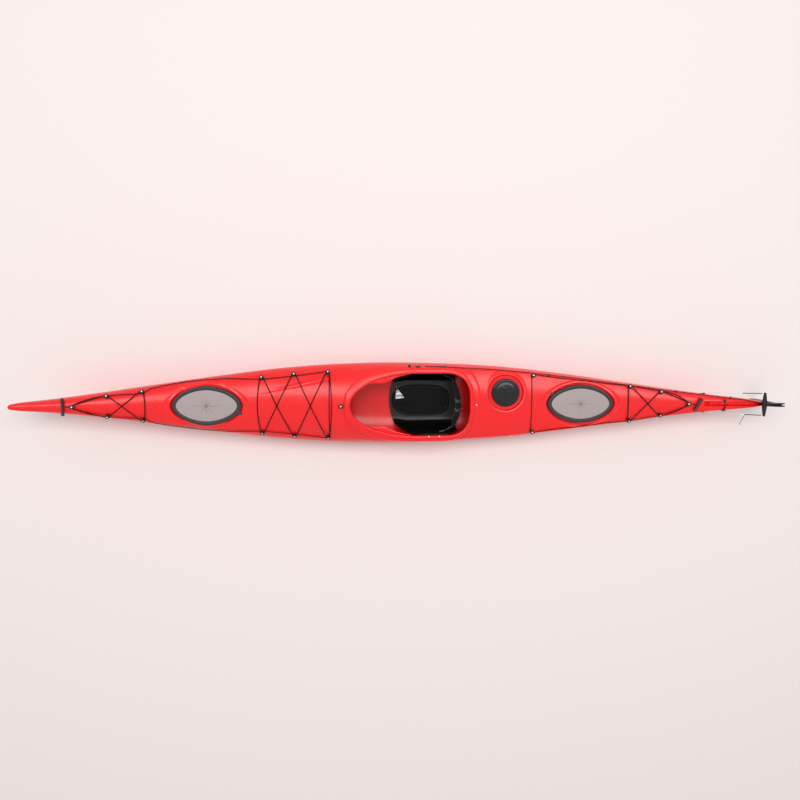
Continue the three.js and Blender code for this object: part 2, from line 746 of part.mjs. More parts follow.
// Bulkheads fill the hull's section across.
for (const [name, share] of Object.entries(bulkheadPlaces)) {
  const half = bulkheadThickness / 2;
  const slab = solid(box(xAt(share) - half, xAt(share) + half, -halfBeam, halfBeam, 0, hullDepth * 1.2));
  let body = hollow(wall + touchGap).intersect(slab);
  for (const tunnel of tunnels) body = body.subtract(tunnel);
  const whole = body.decompose().sort((a, b) => b.volume() - a.volume())[0];
  piece(name, whole, "bulkhead");
}

// An oval hatch: a rubber cover that grips the collar, and a stiff panel on it.
for (const [name, h] of Object.entries(hatches)) {
  const top = h.collarTop + touchGap + hatchRubber;
  const skirt = hatchSkirtWall;
  const seat = hatchRimWidth;
  const rubber = stackedOvals(h.x, ...h.cover, [
    [skirt, top - hatchRubber],
    [skirt, h.floor + touchGap],
    [hatchRimBevel, h.floor + touchGap],
    [0, h.floor + touchGap + hatchRimBevel],
    [0, top],
    [hatchRimRise, top + hatchRimRise * 0.8],
    [seat / 2, top + hatchRimRise],
    [seat - hatchRimStep, top + hatchRimRise * 0.8],
    [seat - touchGap, top + hatchRimRise * 0.4],
    [seat - touchGap, top],
  ]);
  piece(`${name}_hatch_cover`, rubber, "rubber");
  const base = top + touchGap;
  const panel = stackedOvals(h.x, panelHalfLength, panelHalfWidth, [
    [touchGap, base],
    [touchGap, base + panelThickness * 0.6],
    [panelThickness / 2, base + panelThickness],
    [panelHalfWidth * 0.35, base + panelThickness + panelDome * 0.6],
    [panelHalfWidth * 0.75, base + panelThickness + panelDome],
  ]);
  piece(`${name}_hatch_panel`, panel, "panel");
}

// The day hatch: a frame let into the deck, its seal and the lid that screws into it.
{
  const place = (geometry) => geometry.translate(dayX, dayHatchOffset, dayFloor + touchGap);
  const outer = dayOpeningRadius - touchGap;
  const bore = outer - dayFrameWall;
  const plug = bore * Math.cos(Math.PI / ovalSteps) - runGap;
  const flange = dayFlangeThickness;
  const frame = turned(
    [
      [bore, -dayFrameDepth], [outer, -dayFrameDepth], [outer, 0], [outer + dayFlangeWidth, 0],
      [outer + dayFlangeWidth, flange], [bore, flange], [bore, -dayFrameDepth],
    ],
    ovalSteps,
  );
  piece("day_hatch_frame", place(frame), "gloss");
  const sealFoot = flange + touchGap;
  const sealOut = outer + daySealWidth;
  const seal = turned(
    [
      [outer, sealFoot], [sealOut, sealFoot], [sealOut, sealFoot + daySealHeight],
      [outer, sealFoot + daySealHeight], [outer, sealFoot],
    ],
    ovalSteps,
  );
  piece("day_hatch_seal", place(seal), "rubber");
  const lidFoot = sealFoot + daySealHeight + touchGap;
  const lid = turned(
    [
      [0, -dayPlugDepth], [plug, -dayPlugDepth], [plug, lidFoot],
      [dayLidRadius, lidFoot], [dayLidRadius, lidFoot + dayLidEdge / 2],
      [dayLidRadius * 0.9, lidFoot + dayLidEdge],
      [dayLidRadius * 0.5, lidFoot + dayLidEdge + dayLidDome * 0.7],
      [0, lidFoot + dayLidEdge + dayLidDome],
    ],
    ovalSteps,
  );
  const gripHalf = dayLidRadius * 0.75;
  const gripFoot = lidFoot + dayLidEdge - dayGripHeight;
  const gripTop = lidFoot + dayLidEdge + dayLidDome + dayGripHeight;
  const grip = box(-gripHalf, gripHalf, -dayGripWidth / 2, dayGripWidth / 2, gripFoot, gripTop);
  piece("day_hatch_lid", solid(place(lid)).add(solid(place(grip.rotateZ(-Math.PI / 4)))), "gloss");
}

// Where a line from a point first meets a piece, and how the piece faces there.
const caster = new THREE.Raycaster();
function firstHit(mesh, from, towards) {
  caster.set(from, towards);
  const hit = caster.intersectObject(mesh)[0];
  return hit ? { point: hit.point, normal: hit.face.normal.clone() } : null;
}
const down = at(0, 0, -1);
const deckHit = (x, y) => firstHit(hull, at(x, y, hullDepth * 2), down);
const beamAt = (share) => halfBeam * curve(beamShares, share);

// A point at a height above the deck, and the way that the deck faces there.
function onDeck(share, across, height) {
  const x = xAt(share);
  const y = across * beamAt(share);
  const span = fittingBaseRadius;
  const rise = (dx, dy) => deckAt(x + dx, y + dy) - deckAt(x - dx, y - dy);
  const normal = at(-rise(span, 0), -rise(0, span), 2 * span).normalize();
  const hit = deckHit(x, y).point;
  let clear = 0;
  for (let i = 0; i < footSamples; i++) {
    const turn = 2.4 * i;
    const reach = span * Math.sqrt(i / (footSamples - 1));
    const under = deckHit(x + reach * Math.cos(turn), y + reach * Math.sin(turn));
    if (under) clear = Math.max(clear, under.point.sub(hit).dot(normal));
  }
  return { foot: hit.addScaledVector(normal, clear + height), normal };
}

// The deck fittings: a foot, a neck for one line and one bungee, and a cap.
const neckHeight = lineDiameter + bungeeDiameter + 4 * neckGap;
const fittings = {};
for (const [name, [share, across]] of Object.entries(fittingPlaces)) {
  const each = across ? Object.entries(sides) : [["", 1]];
  for (const [sideName, side] of each) {
    const key = sideName ? `${name}_${sideName}` : name;
    fittings[key] = onDeck(share, side * across, touchGap);
    const capFoot = fittingBaseHeight + neckHeight;
    const bollard = turned(
      [
        [0, 0], [fittingBaseRadius, 0], [fittingBaseRadius, fittingBaseHeight],
        [fittingNeckRadius, fittingBaseHeight], [fittingNeckRadius, capFoot],
        [fittingCapRadius, capFoot], [fittingCapRadius, capFoot + fittingCapHeight * 0.5],
        [fittingCapRadius * 0.6, capFoot + fittingCapHeight], [0, capFoot + fittingCapHeight],
      ],
      fittingSides,
    );
    const { foot, normal } = fittings[key];
    const stand = new THREE.Quaternion().setFromUnitVectors(up, normal);
    bollard.applyQuaternion(stand).translate(foot.x, foot.y, foot.z);
    piece(`fitting_${key}`, bollard, "gloss");
  }
}

// Where a stop of a cord is: a fitting by its name, or a place on the deck as two shares.
function stopPoint(stop) {
  if (typeof stop === "string") return fittings[stop].foot;
  return deckHit(xAt(stop[0]), stop[1] * beamAt(stop[0])).point;
}

// Points where a cord goes round the neck of a fitting, between the stops before and after.
function aroundNeck(before, here, after, level, radius) {
  const { foot, normal } = fittings[here];
  const middle = foot.clone().addScaledVector(normal, level);
  const towards = (stop) => stopPoint(stop).clone().sub(foot).projectOnPlane(normal).normalize();
  const from = towards(before);
  const to = towards(after);
  const inside = from.clone().add(to);
  const outside = inside.length() > 0.05 ? inside.negate() : from.clone().cross(normal);
  outside.normalize();
  const reach = fittingNeckRadius + radius + neckGap;
  const square = (way) => outside.clone().addScaledVector(way, -outside.dot(way)).normalize();
  const first = square(from);
  const final = square(to);
  const turn = first.angleTo(final);
  const axis = first.clone().cross(final).normalize();
  const steps = Math.max(Math.ceil(turn / turnStep), 1);
  const round = Array.from({ length: steps + 1 }, (_, i) =>
    middle.clone().addScaledVector(first.clone().applyAxisAngle(axis, (turn * i) / steps), reach),
  );
  return turn < turnStep / 4 ? [round[0].lerp(round[steps], 0.5)] : round;
}

// A taut cord's points between two ends: straight where it can be, else over the highest of the deck.
function leg(from, to, radius, { bow = 0, over = false, level = 0, reach = 1 } = {}) {
  const span = to.clone().sub(from);
  const length = Math.hypot(span.x, span.y);
  const steps = Math.max(Math.ceil(length / sampleStep), 2);
  const aside = span.clone().cross(up).normalize();
  const rows = [];
  for (let i = 0; i <= steps; i++) {
    const t = i / steps;
    const p = from.clone().addScaledVector(span, t).addScaledVector(aside, bow * Math.sin(Math.PI * t));
    const near = Math.min(t, 1 - t) * length;
    const free = near < (level ? fittingBaseRadius : touchGap);
    const hit = free ? null : deckHit(p.x, p.y);
    if (hit) {
      const held = (level - neckGap / 2) * smooth((2 * (reach - near)) / reach);
      let height = Math.max(radius + drapeGap, held);
      if (over && Math.abs(t - 0.5) * length < crossingReach) height += crossingRise;
      p.z = Math.max(hit.point.z + height / Math.max(hit.normal.z, 0.5), hit.point.z);
    }
    rows.push(p);
  }
  const taut = [0];
  for (let i = 1; i <= steps; i++) {
    while (taut.length > 1) {
      const [a, b] = taut.slice(-2);
      const straight = mix(rows[a].z, rows[i].z, (b - a) / (i - a));
      if (rows[b].z > straight) break;
      taut.pop();
    }
    taut.push(i);
  }
  const thin = (list) => {
    const [a, b] = [list[0], list[list.length - 1]];
    const chord = (i) => mix(rows[a].z, rows[b].z, (i - a) / (b - a || 1));
    const strays = list.map((i) => Math.abs(rows[i].z - chord(i)));
    const most = strays.indexOf(Math.max(...strays));
    if (strays[most] < slack) return [a, b];
    return [...thin(list.slice(0, most + 1)), ...thin(list.slice(most)).slice(1)];
  };
  const kept = thin(taut);
  const points = [];
  const every = bow ? Math.max(Math.round(bowStep / sampleStep), 1) : steps;
  for (let k = 0; k + 1 < kept.length; k++) {
    const [a, b] = [kept[k], kept[k + 1]];
    for (let i = a; i < b; i++) {
      if (i === 0 || (i !== a && i % every)) continue;
      if (i !== a && Math.min(i - a, b - i) * 2 < every) continue;
      const p = rows[i].clone();
      p.z = mix(rows[a].z, rows[b].z, (i - a) / (b - a));
      points.push(p);
    }
  }
  return points;
}

// A point of the deck's surface for a cord to lie on.
function laid([share, across], radius) {
  const hit = deckHit(xAt(share), across * beamAt(share));
  return hit.point.addScaledVector(hit.normal, radius + drapeGap);
}

// A cord that goes from stop to stop and ends where it began, at the first fitting.
function lashing(stops, level, diameter, legs = {}) {
  const radius = diameter / 2;
  const count = stops.length;
  const held = { level, reach: level > lineLevel ? rideReach : (fittingBaseRadius + radius) * 2 };
  const turns = stops.map((here, i) =>
    typeof here === "string"
      ? aroundNeck(stops[(i + count - 1) % count], here, stops[(i + 1) % count], level, radius)
      : [laid(here, radius)],
  );
  const split = Math.floor(turns[0].length / 2);
  const points = turns[0].slice(split);
  for (let i = 0; i < count; i++) {
    const next = (i + 1) % count;
    const arrival = next === 0 ? turns[0].slice(0, split) : turns[next];
    const options = { ...held, ...legs[`${stops[i]}>${stops[next]}`] };
    points.push(...leg(points[points.length - 1], arrival[0], radius, options), ...arrival);
  }
  return tube(points, diameter);
}

const lineLevel = fittingBaseHeight + neckGap + lineDiameter / 2;
const bungeeLevel = lineLevel + lineDiameter / 2 + neckGap + bungeeDiameter / 2;
const mirrored = (route) => route.map(([share, across]) => [share, -across]);
const backwards = (route) => [...route].reverse();

const bowLineStops = [
  "fore_3_starboard", "fore_2_starboard", "fore_1_starboard", ...backwards(edgeRoute), "bow_3_starboard",
  "bow_2_starboard", "bow_1", "bow_2_port", "bow_3_port", ...mirrored(edgeRoute), "fore_1_port",
  "fore_2_port", "fore_3_port",
];
const bowLineLegs = {
  "bow_2_starboard>bow_1": { bow: lineBow },
  "bow_1>bow_2_port": { bow: lineBow },
  "fore_3_port>fore_3_starboard": { bow: crossBow },
};
piece("bow_deck_line", lashing(bowLineStops, lineLevel, lineDiameter, bowLineLegs), "cord");

const sternLineStops = [
  "aft_1_port", "aft_1_starboard", ...sternEdgeRoute, "aft_2_starboard", "aft_3_starboard", "stern",
  "aft_3_port", "aft_2_port", ...backwards(mirrored(sternEdgeRoute)),
];
const sternLineLegs = {
  "aft_3_starboard>stern": { bow: -crossBow },
  "stern>aft_3_port": { bow: -lineBow },
};
piece("stern_deck_line", lashing(sternLineStops, lineLevel, lineDiameter, sternLineLegs), "cord");

const bowBungeeStops = ["bow_1", "bow_2_starboard", "bow_3_port", "bow_3_starboard", "bow_2_port"];
const bowBungeeLegs = {
  "bow_3_starboard>bow_2_port": { over: true },
  "bow_3_port>bow_3_starboard": { bow: lineBow },
};
piece("bow_bungee", lashing(bowBungeeStops, bungeeLevel, bungeeDiameter, bowBungeeLegs), "cord");

const foreBungeeStops = [
  "fore_3_port", "fore_2_starboard", "fore_1_port", "fore_1_starboard", "fore_2_port", "fore_3_starboard",
];
const foreBungeeLegs = {
  "fore_1_starboard>fore_2_port": { over: true },
  "fore_2_port>fore_3_starboard": { over: true },
  "fore_1_port>fore_1_starboard": { bow: -crossBow },
};
piece("fore_bungee", lashing(foreBungeeStops, bungeeLevel, bungeeDiameter, foreBungeeLegs), "cord");

const aftBungeeStops = ["stern", "aft_3_starboard", "aft_2_port", "aft_2_starboard", "aft_3_port"];
const aftBungeeLegs = { "aft_2_starboard>aft_3_port": { over: true } };
piece("aft_bungee", lashing(aftBungeeStops, bungeeLevel, bungeeDiameter, aftBungeeLegs), "cord");

// A carrying toggle: a waisted bar on a short cord from the foot of the last fitting.
function toggle(name, centre, length, turn, fitting) {
  const end = length / 2;
  const bar = turned(
    [
      [0, -end], [toggleRadius * 0.8, -end], [toggleRadius, -end * 0.9], [toggleWaistRadius, -end * 0.3],
      [toggleWaistRadius, end * 0.3], [toggleRadius, end * 0.9], [toggleRadius * 0.8, end], [0, end],
    ],
    fittingSides,
  );
  bar.rotateX(Math.PI / 2).rotateZ(turn).translate(centre.x, centre.y, centre.z);
  piece(name, bar, "nylon");
  const { foot, normal } = fittings[fitting];
  const radius = toggleCordDiameter / 2;
  const way = centre.clone().sub(foot).projectOnPlane(normal).normalize();
  const start = foot
    .clone()
    .addScaledVector(normal, radius + touchGap)
    .addScaledVector(way, fittingBaseRadius + touchGap);
  const finish = centre.clone().addScaledVector(way, -(toggleWaistRadius / Math.cos(turn) + touchGap));
  const points = [start, ...leg(start, finish, radius), finish];
  piece(`${name}_cord`, tube(points, toggleCordDiameter), "cord");
}
{
  const restOn = (x, y) => deckHit(x, y).point.add(at(0, 0, toggleRadius + runGap));
  toggle("bow_toggle", restOn(xAt(bowToggleShare), 0), bowToggleLength, 0, "bow_1");
  const y = sternTogglePlace[1] * beamAt(sternTogglePlace[0]);
  toggle("stern_toggle", restOn(toggleX, y), sternToggleLength, -sternToggleTurn, "stern");
}

// The rudder's bracket on the stern, and the pin that its head turns on.
const roundBar = (radius, low, high) =>
  turned([[0, low], [radius, low], [radius, high], [0, high]], fittingSides);
{
  const half = bracketWidth / 2;
  const block = solid(box(sternX + touchGap, sternX + bracketLength, -half, half, bracketFoot, bracketTop));
  const bore = roundBar(pinRadius + touchGap, bracketFoot - overrun, bracketTop + overrun);
  bore.translate(pinX, 0, 0);
  piece("rudder_bracket", block.subtract(solid(bore)), "gloss");
  const pin = roundBar(pinRadius, bracketFoot, yokeFloor + yokeThickness - touchGap).translate(pinX, 0, 0);
  piece("rudder_pin", pin, "steel");
}

// The rudder's head: a yoke with two arms for the cables, and two cheeks that hold the blade.
const headTop = yokeFloor + headHeight;
const pivot = at(pinX + headLength - bladePivotSetback, 0, headTop - bladePivotDrop);
{
  const arm = [
    { x: pinX - yokeRootHalf, y: -headWidth / 2 }, { x: pinX - yokeTipHalf, y: -yokeHalfSpan },
    { x: pinX + yokeTipHalf, y: -yokeHalfSpan }, { x: pinX + yokeRootHalf, y: -headWidth / 2 },
    { x: pinX + yokeRootHalf, y: headWidth / 2 }, { x: pinX + yokeTipHalf, y: yokeHalfSpan },
    { x: pinX - yokeTipHalf, y: yokeHalfSpan }, { x: pinX - yokeRootHalf, y: headWidth / 2 },
  ];
  let head = solid(prism(arm, yokeFloor, yokeFloor + yokeThickness));
  const slot = bladeThickness / 2 + touchGap;
  const end = pinX + headLength;
  const outline = [
    [pinX, yokeFloor], [end, yokeFloor], [end, headTop - bladePivotDrop / 2],
    [end - bladePivotDrop / 2, headTop], [end - bladePivotSetback * 1.5, headTop],
    [pinX + yokeRootHalf, yokeFloor + yokeThickness], [pinX, yokeFloor + yokeThickness],
  ].map(([x, z]) => ({ x, y: z }));
  for (const side of Object.values(sides)) {
    const cheek = prism(outline, slot, headWidth / 2).rotateX(Math.PI / 2);
    if (side > 0) cheek.scale(1, -1, 1);
    head = head.add(solid(cheek));
  }
  const webEnd = pinX + yokeRootHalf + headWebLength;
  const web = box(pinX, webEnd, -headWidth / 2, headWidth / 2, yokeFloor, yokeFloor + yokeThickness);
  head = head.add(solid(web));
  const bore = roundBar(pinRadius + touchGap, yokeFloor - overrun, headTop + overrun).translate(pinX, 0, 0);
  const hole = roundBar(boltRadius + touchGap, -headWidth, headWidth);
  hole.rotateX(Math.PI / 2).translate(pivot.x, 0, pivot.z);
  piece("rudder_head", head.subtract(solid(bore)).subtract(solid(hole)), "gloss");
}

// The blade: a flat neck that swings between the cheeks, and a foil below it.
{
  const half = bladeThickness / 2;
  const neck = [];
  for (let i = 0; i <= fittingSides; i++) {
    const turn = (Math.PI * i) / fittingSides;
    neck.push({ x: bladeNeckHalf * Math.cos(turn), y: bladeNeckHalf * Math.sin(turn) });
  }
  const neckEnd = -bladeNeckLength - bladeNeckHalf;
  neck.push({ x: -bladeNeckHalf, y: neckEnd }, { x: bladeNeckHalf, y: neckEnd });
  const stem = prism(neck, -half, half).rotateX(Math.PI / 2);
  const foilSides = 12;
  const foilRows = [
    [0, 0.55], [0.06, 0.9], [0.15, 1], [0.5, 0.95], [0.9, bladeTaperShare],
    [0.97, bladeTaperShare * 0.85], [1, bladeTaperShare * 0.55],
  ];
  const foil = loft(
    foilRows.map(([down01, chord]) =>
      Array.from({ length: foilSides }, (_, i) => {
        const turn = (2 * Math.PI * i) / foilSides;
        const middle = (bladeTrail - bladeLead) / 2;
        const reach = ((bladeLead + bladeTrail) / 2) * chord;
        const z = -mix(bladeNeckLength, bladeReach, down01);
        return at(middle + reach * Math.cos(turn), half * Math.sin(turn), z);
      }),
    ),
  );
  const boreRadius = boltRadius / Math.cos(Math.PI / fittingSides) + touchGap;
  const hole = roundBar(boreRadius, -headWidth, headWidth).rotateX(Math.PI / 2);
  const blade = solid(stem).add(solid(foil)).subtract(solid(hole));
  piece("rudder_blade", blade.translate([pivot.x, 0, pivot.z]), "aluminium");
  const reach = headWidth / 2 + touchGap;
  const bolt = turned(
    [
      [0, -reach - boltHeadHeight], [boltHeadRadius, -reach - boltHeadHeight], [boltHeadRadius, -reach],
      [boltRadius, -reach], [boltRadius, reach], [boltHeadRadius, reach],
      [boltHeadRadius, reach + boltHeadHeight], [0, reach + boltHeadHeight],
    ],
    fittingSides,
  );
  piece("blade_bolt", bolt.rotateX(Math.PI / 2).translate(pivot.x, 0, pivot.z), "steel");
}

// Foot braces: a rail on each side of the hull and the pedal that slides on it.
for (const [name, side] of Object.entries(sides)) {
  const low = railMiddle - railHeight / 2;
  const high = railMiddle + railHeight / 2;
  const wallAt = (x) => {
    const heights = [low, railMiddle, high];
    const reaches = heights.map((z) => Math.abs(firstHit(hull, at(x, 0, z), at(0, side, 0)).point.y));
    return Math.min(...reaches) - touchGap;
  };
  const end = railStart + railLength;
  const outline = [
    [railStart, railInner], [end, railInner], [end, wallAt(end)],
    [end - railBossLength, wallAt(end - railBossLength)],
    [end - railBossLength, railOuter], [railStart + railBossLength, railOuter],
    [railStart + railBossLength, wallAt(railStart + railBossLength)], [railStart, wallAt(railStart)],
  ].map(([x, y]) => ({ x, y: side * y }));
  piece(`foot_rail_${name}`, prism(outline, low, high), "aluminium");
  const shoeOut = railInner - touchGap;
  const shoeIn = shoeOut - pedalShoeThickness;
  const front = railStart + pedalSetback;
  const pedal = [
    [front, shoeOut], [front, shoeIn - pedalReach], [front + pedalThickness, shoeIn - pedalReach],
    [front + pedalThickness, shoeIn], [front + pedalShoeLength, shoeIn], [front + pedalShoeLength, shoeOut],
  ].map(([x, y]) => ({ x, y: side * y }));
  const pedalFoot = railMiddle - pedalHeight / 2;
  piece(`foot_pedal_${name}`, prism(pedal, pedalFoot, pedalFoot + pedalHeight), "nylon");
  piece(`rudder_cable_${name}`, tube(cables[name], cableDiameter), "steel");
}

// The seat pan: a moulded trough whose cheeks reach up to the coaming.
const seatStart = xAt(seatStartShare);
const panFloor = wall + seatFloor;
let seatPan;
function panRing(x, t, inset, extra) {
  const half = seatHalfWidth * curve(seatWidthShares, t) - inset;
  const cheek = cockpitHalfWidth - seatCheekGap - inset;
  const top = rimAt(seatStart + seatLength * t) * curve(cheekShares, t) - braceDrop;
  const floor = panFloor + inset;
  const lift = top - floor;
  const reach = mix(half, cheek, Math.min(curve(cheekShares, t) * 1.02, 1));
  const rows = [
    [half * 0.55, floor], [half, floor + lift * 0.04], [mix(half, reach, 0.6), floor + lift * 0.25],
    [mix(half, reach, 0.93), floor + lift * 0.6], [reach, top + extra],
  ];
  const starboard = rows.map(([y, z]) => at(x, y, z));
  return [...starboard, ...rows.reverse().map(([y, z]) => at(x, -y, z))];
}
{
  const shares = Array.from({ length: seatStations + 1 }, (_, i) => i / seatStations);
  const outer = solid(loft(shares.map((t) => panRing(seatStart + seatLength * t, t, 0, 0))));
  const cutLength = seatLength + 2 * overrun;
  const cut = shares.map((t) => panRing(seatStart - overrun + cutLength * t, t, seatWall, overrun));
  const inner = solid(loft(cut));
  const foot = box(
    seatStart + seatLength * 0.2, seatStart + seatLength * 0.8, -seatFootHalfWidth, seatFootHalfWidth,
    wall + touchGap, panFloor + seatWall / 2,
  );
  seatPan = piece("seat_pan", outer.subtract(inner).add(solid(foot)), "gloss");
}

// A cushion as a disc of rings: a crowned top and a flat underside that meet in drawn-in sides.
function cushion(pointAt) {
  const top = [];
  const under = [];
  for (let i = 1; i <= padRings; i++) {
    const share = Math.sin((Math.PI / 2) * (i / padRings));
    const ring = (side) =>
      Array.from({ length: padSteps }, (_, j) => {
        const turn = (2 * Math.PI * j) / padSteps;
        const c = Math.cos(turn);
        const s = Math.sin(turn);
        const u = share * Math.sign(c) * Math.abs(c) ** (2 / padSquarePower);
        const v = share * Math.sign(s) * Math.abs(s) ** (2 / padSquarePower);
        return pointAt(u, v, side * Math.cos((Math.PI / 2) * (i / padRings)) ** 0.5);
      });
    top.push(ring(1));
    if (i < padRings) under.push(ring(-1));
  }
  return loft([...under, ...top.reverse()]);
}

// The seat pad: raised at its sides and along a pommel between the thighs.
{
  const halfLength = seatLength / 2 - padInset;
  const halfWidth = seatHalfWidth * curve(seatWidthShares, 0) - seatWall - padInset;
  const middle = seatStart + seatLength / 2;
  const base = panFloor + seatWall + touchGap + padThickness / 2;
  const pad = cushion((u, v, side) => {
    const rise = padPommel * Math.exp(-((v * 4) ** 2)) * smooth((0.2 - u) * 1.2) + padCrown * v * v;
    const half = (padThickness / 2) * Math.abs(side);
    const z = side > 0 ? base + half + rise * Math.abs(side) : base - half;
    return at(middle + halfLength * u, halfWidth * v, z);
  });
  piece("seat_pad", pad, "foam");
}

// The backband: a padded band that curls forward at its ends.
const bandX = seatStart + seatLength * bandSetShare;
{
  const band = cushion((u, v, side) => {
    const curl = bandWrap * u * u;
    const x = bandX + (bandThickness / 2) * (1 + side * (1 - 0.35 * v * v)) - curl;
    return at(x, bandHalfWidth * u, bandFoot + (bandHeight / 2) * (1 + v));
  });
  piece("seat_backband", band, "foam");
}

// The webbing that holds the backband's ends to the cheeks of the seat.
for (const [name, side] of Object.entries(sides)) {
  const z = bandFoot + bandHeight / 2;
  const inner = bandHalfWidth + touchGap;
  const half = strapWidth / 2;
  const x = bandX - bandWrap + bandThickness / 2;
  const cheeks = [z - half, z + half].map((height) =>
    Math.abs(firstHit(seatPan, at(x - strapLength, 0, height), at(0, side, 0)).point.y),
  );
  const outer = Math.min(...cheeks) - strapThickness - touchGap;
  const path = [
    at(x, side * inner, z), at(x - strapLength * 0.4, side * mix(inner, outer, 0.6), z),
    at(x - strapLength, side * outer, z),
  ];
  const strap = loft(
    path.map((p) => [
      at(p.x, p.y, p.z - half), at(p.x, p.y + side * strapThickness, p.z - half),
      at(p.x, p.y + side * strapThickness, p.z + half), at(p.x, p.y, p.z + half),
    ]),
  );
  piece(`backband_strap_${name}`, strap, "webbing");
}

// The cord that lifts the blade, its cleat beside the cockpit, and the bungee that holds the blade down.
{
  const base = onDeck(cleatShare, cleatBeamShare, touchGap);
  const stand = new THREE.Quaternion().setFromUnitVectors(up, base.normal);
  const half = cleatLength / 2;
  const stem = cleatHeight - cleatHorn / 2;
  const footing = box(-half * 0.45, half * 0.45, -cleatWidth / 2, cleatWidth / 2, 0, stem);
  const horns = box(-half, half, -cleatWidth / 3, cleatWidth / 3, cleatHeight - cleatHorn, cleatHeight);
  const cleat = solid(footing).add(solid(horns));
  const shape = geometryOf(cleat).applyQuaternion(stand).translate(base.foot.x, base.foot.y, base.foot.z);
  piece("uphaul_cleat", shape, "nylon");

  const radius = uphaulDiameter / 2;
  const route = uphaulRoute.map((place) => laid(place, radius));
  const endHeight = yokeFloor + yokeThickness / 2;
  const end = at(pinX - yokeRootHalf - drapeGap, headWidth / 2 - uphaulDiameter, endHeight);
  const points = [route[0]];
  for (const stop of route.slice(1)) points.push(...leg(points[points.length - 1], stop, radius), stop);
  points.push(end);
  piece("uphaul_cord", tube(points, uphaulDiameter), "cord");

  const from = laid([keeperShare, -keeperHalfSpanShare], bungeeDiameter / 2);
  const to = laid([keeperShare, keeperHalfSpanShare * 0.5], bungeeDiameter / 2);
  piece("keeper_bungee", tube([from, ...leg(from, to, bungeeDiameter), to], bungeeDiameter), "cord");
}

export default kayak;
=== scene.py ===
"""A sea kayak with a stern rudder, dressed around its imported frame.

Lengths are millimetres in the frame's own axes until a mesh is made: +X aft, +Y starboard, +Z up,
with the flat strip of the keel on z = 0. Shares of the hull's length count from the bow tip.
"""

import bpy
import numpy as np
from bpy.props import FloatProperty, FloatVectorProperty, IntProperty, PointerProperty
from mathutils import Matrix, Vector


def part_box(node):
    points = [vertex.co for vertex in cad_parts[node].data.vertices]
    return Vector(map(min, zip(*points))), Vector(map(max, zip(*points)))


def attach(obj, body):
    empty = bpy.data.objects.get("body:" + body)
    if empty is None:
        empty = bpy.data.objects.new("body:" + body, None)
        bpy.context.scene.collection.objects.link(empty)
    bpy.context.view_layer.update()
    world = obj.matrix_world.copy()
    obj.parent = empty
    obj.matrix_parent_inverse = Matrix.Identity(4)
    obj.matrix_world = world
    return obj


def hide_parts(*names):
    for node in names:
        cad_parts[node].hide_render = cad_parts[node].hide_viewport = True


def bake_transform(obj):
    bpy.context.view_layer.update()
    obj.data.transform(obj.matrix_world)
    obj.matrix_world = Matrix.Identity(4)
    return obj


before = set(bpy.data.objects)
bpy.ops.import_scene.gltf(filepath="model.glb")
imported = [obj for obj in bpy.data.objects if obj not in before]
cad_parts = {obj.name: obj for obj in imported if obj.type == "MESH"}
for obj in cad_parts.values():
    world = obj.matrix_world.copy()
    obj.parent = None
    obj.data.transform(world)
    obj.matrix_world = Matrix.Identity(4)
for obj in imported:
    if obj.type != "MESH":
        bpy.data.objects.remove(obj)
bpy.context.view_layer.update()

bl_info = {
    "name": "Sea Kayak",
    "version": (1, 0, 0),
    "blender": (4, 5, 0),
    "location": "View3D > Sidebar > Kayak",
    "description": "Builds the skins, soft goods, cords and finishes of a sea kayak around its frame",
    "category": "Object",
}

MM = 0.001
UP = np.array([0.0, 0.0, 1.0])

# The hull's form: rows of [share of its length, value]
LENGTH, BOW_REACH, HALF_BEAM, DEPTH, WALL = 5040.0, 0.506, 275.0, 335.0, 5.0
BOW_X = -LENGTH * BOW_REACH
STERN_X = BOW_X + LENGTH
NOSE_X, NOSE_ROUND = BOW_X + LENGTH * 0.0098, 15.0
BEAM = [[.0098, .052], [.02, .09], [.06, .162], [.12, .298], [.2, .506], [.28, .707], [.36, .88], [.44, .976],
        [.5, 1], [.56, .978], [.64, .905], [.72, .749], [.8, .549], [.88, .338], [.94, .2], [.98, .124],
        [1, .065]]
KEEL = [[.0098, .955], [.014, .85], [.024, .66], [.042, .48], [.07, .31], [.11, .18], [.17, .075],
        [.25, .018], [.33, 0], [.7, 0], [.78, .015], [.86, .063], [.91, .14], [.95, .27], [.98, .45],
        [1, .66]]
RIDGE = [[0, 1.069], [.0907, .967], [.18, .913], [.2585, .896], [.34, .91], [.4, .935], [.44, .965],
         [.52, .93], [.62, .818], [.7, .782], [.755, .764], [.83, .767], [.9, .8], [.95, .842], [1, .913]]
EDGE = [[0, 1.045], [.0907, .866], [.18, .782], [.2585, .737], [.34, .716], [.44, .693], [.62, .681],
        [.755, .672], [.83, .687], [.9, .728], [.95, .776], [1, .872]]
WIDEST = [[0, .82], [.4, .72], [.62, .64], [1, .72]]
BILGE = [[0, 1.15], [.06, 1.25], [.2, 1.7], [.36, 2.3], [.5, 2.6], [.64, 2.4], [.8, 1.8], [.94, 1.3],
         [1, 1.2]]
KEEL_WIDTH = [[0, .12], [.1, .2], [.3, 1], [.7, 1], [.9, .25], [1, .15]]
ROUND_START = [[0, .7], [.44, .8], [.6, .9], [1, .88]]
ROUND_POWER = [[0, 2], [.44, 2], [.62, 1.35], [1, 1.35]]
BULGE = [[.307, 0], [.36, .5], [.42, 1], [.52, 1], [.6, 0]]
CREASE = [[.3, .25], [.38, .51], [.445, .74], [.485, .86], [.52, .95]]
KEEL_HALF, KNEE_BULGE, CROWN_POWER, CREASE_WIDTH, CREASE_APART = 40.0, 12.0, 2.3, 0.04, 0.1
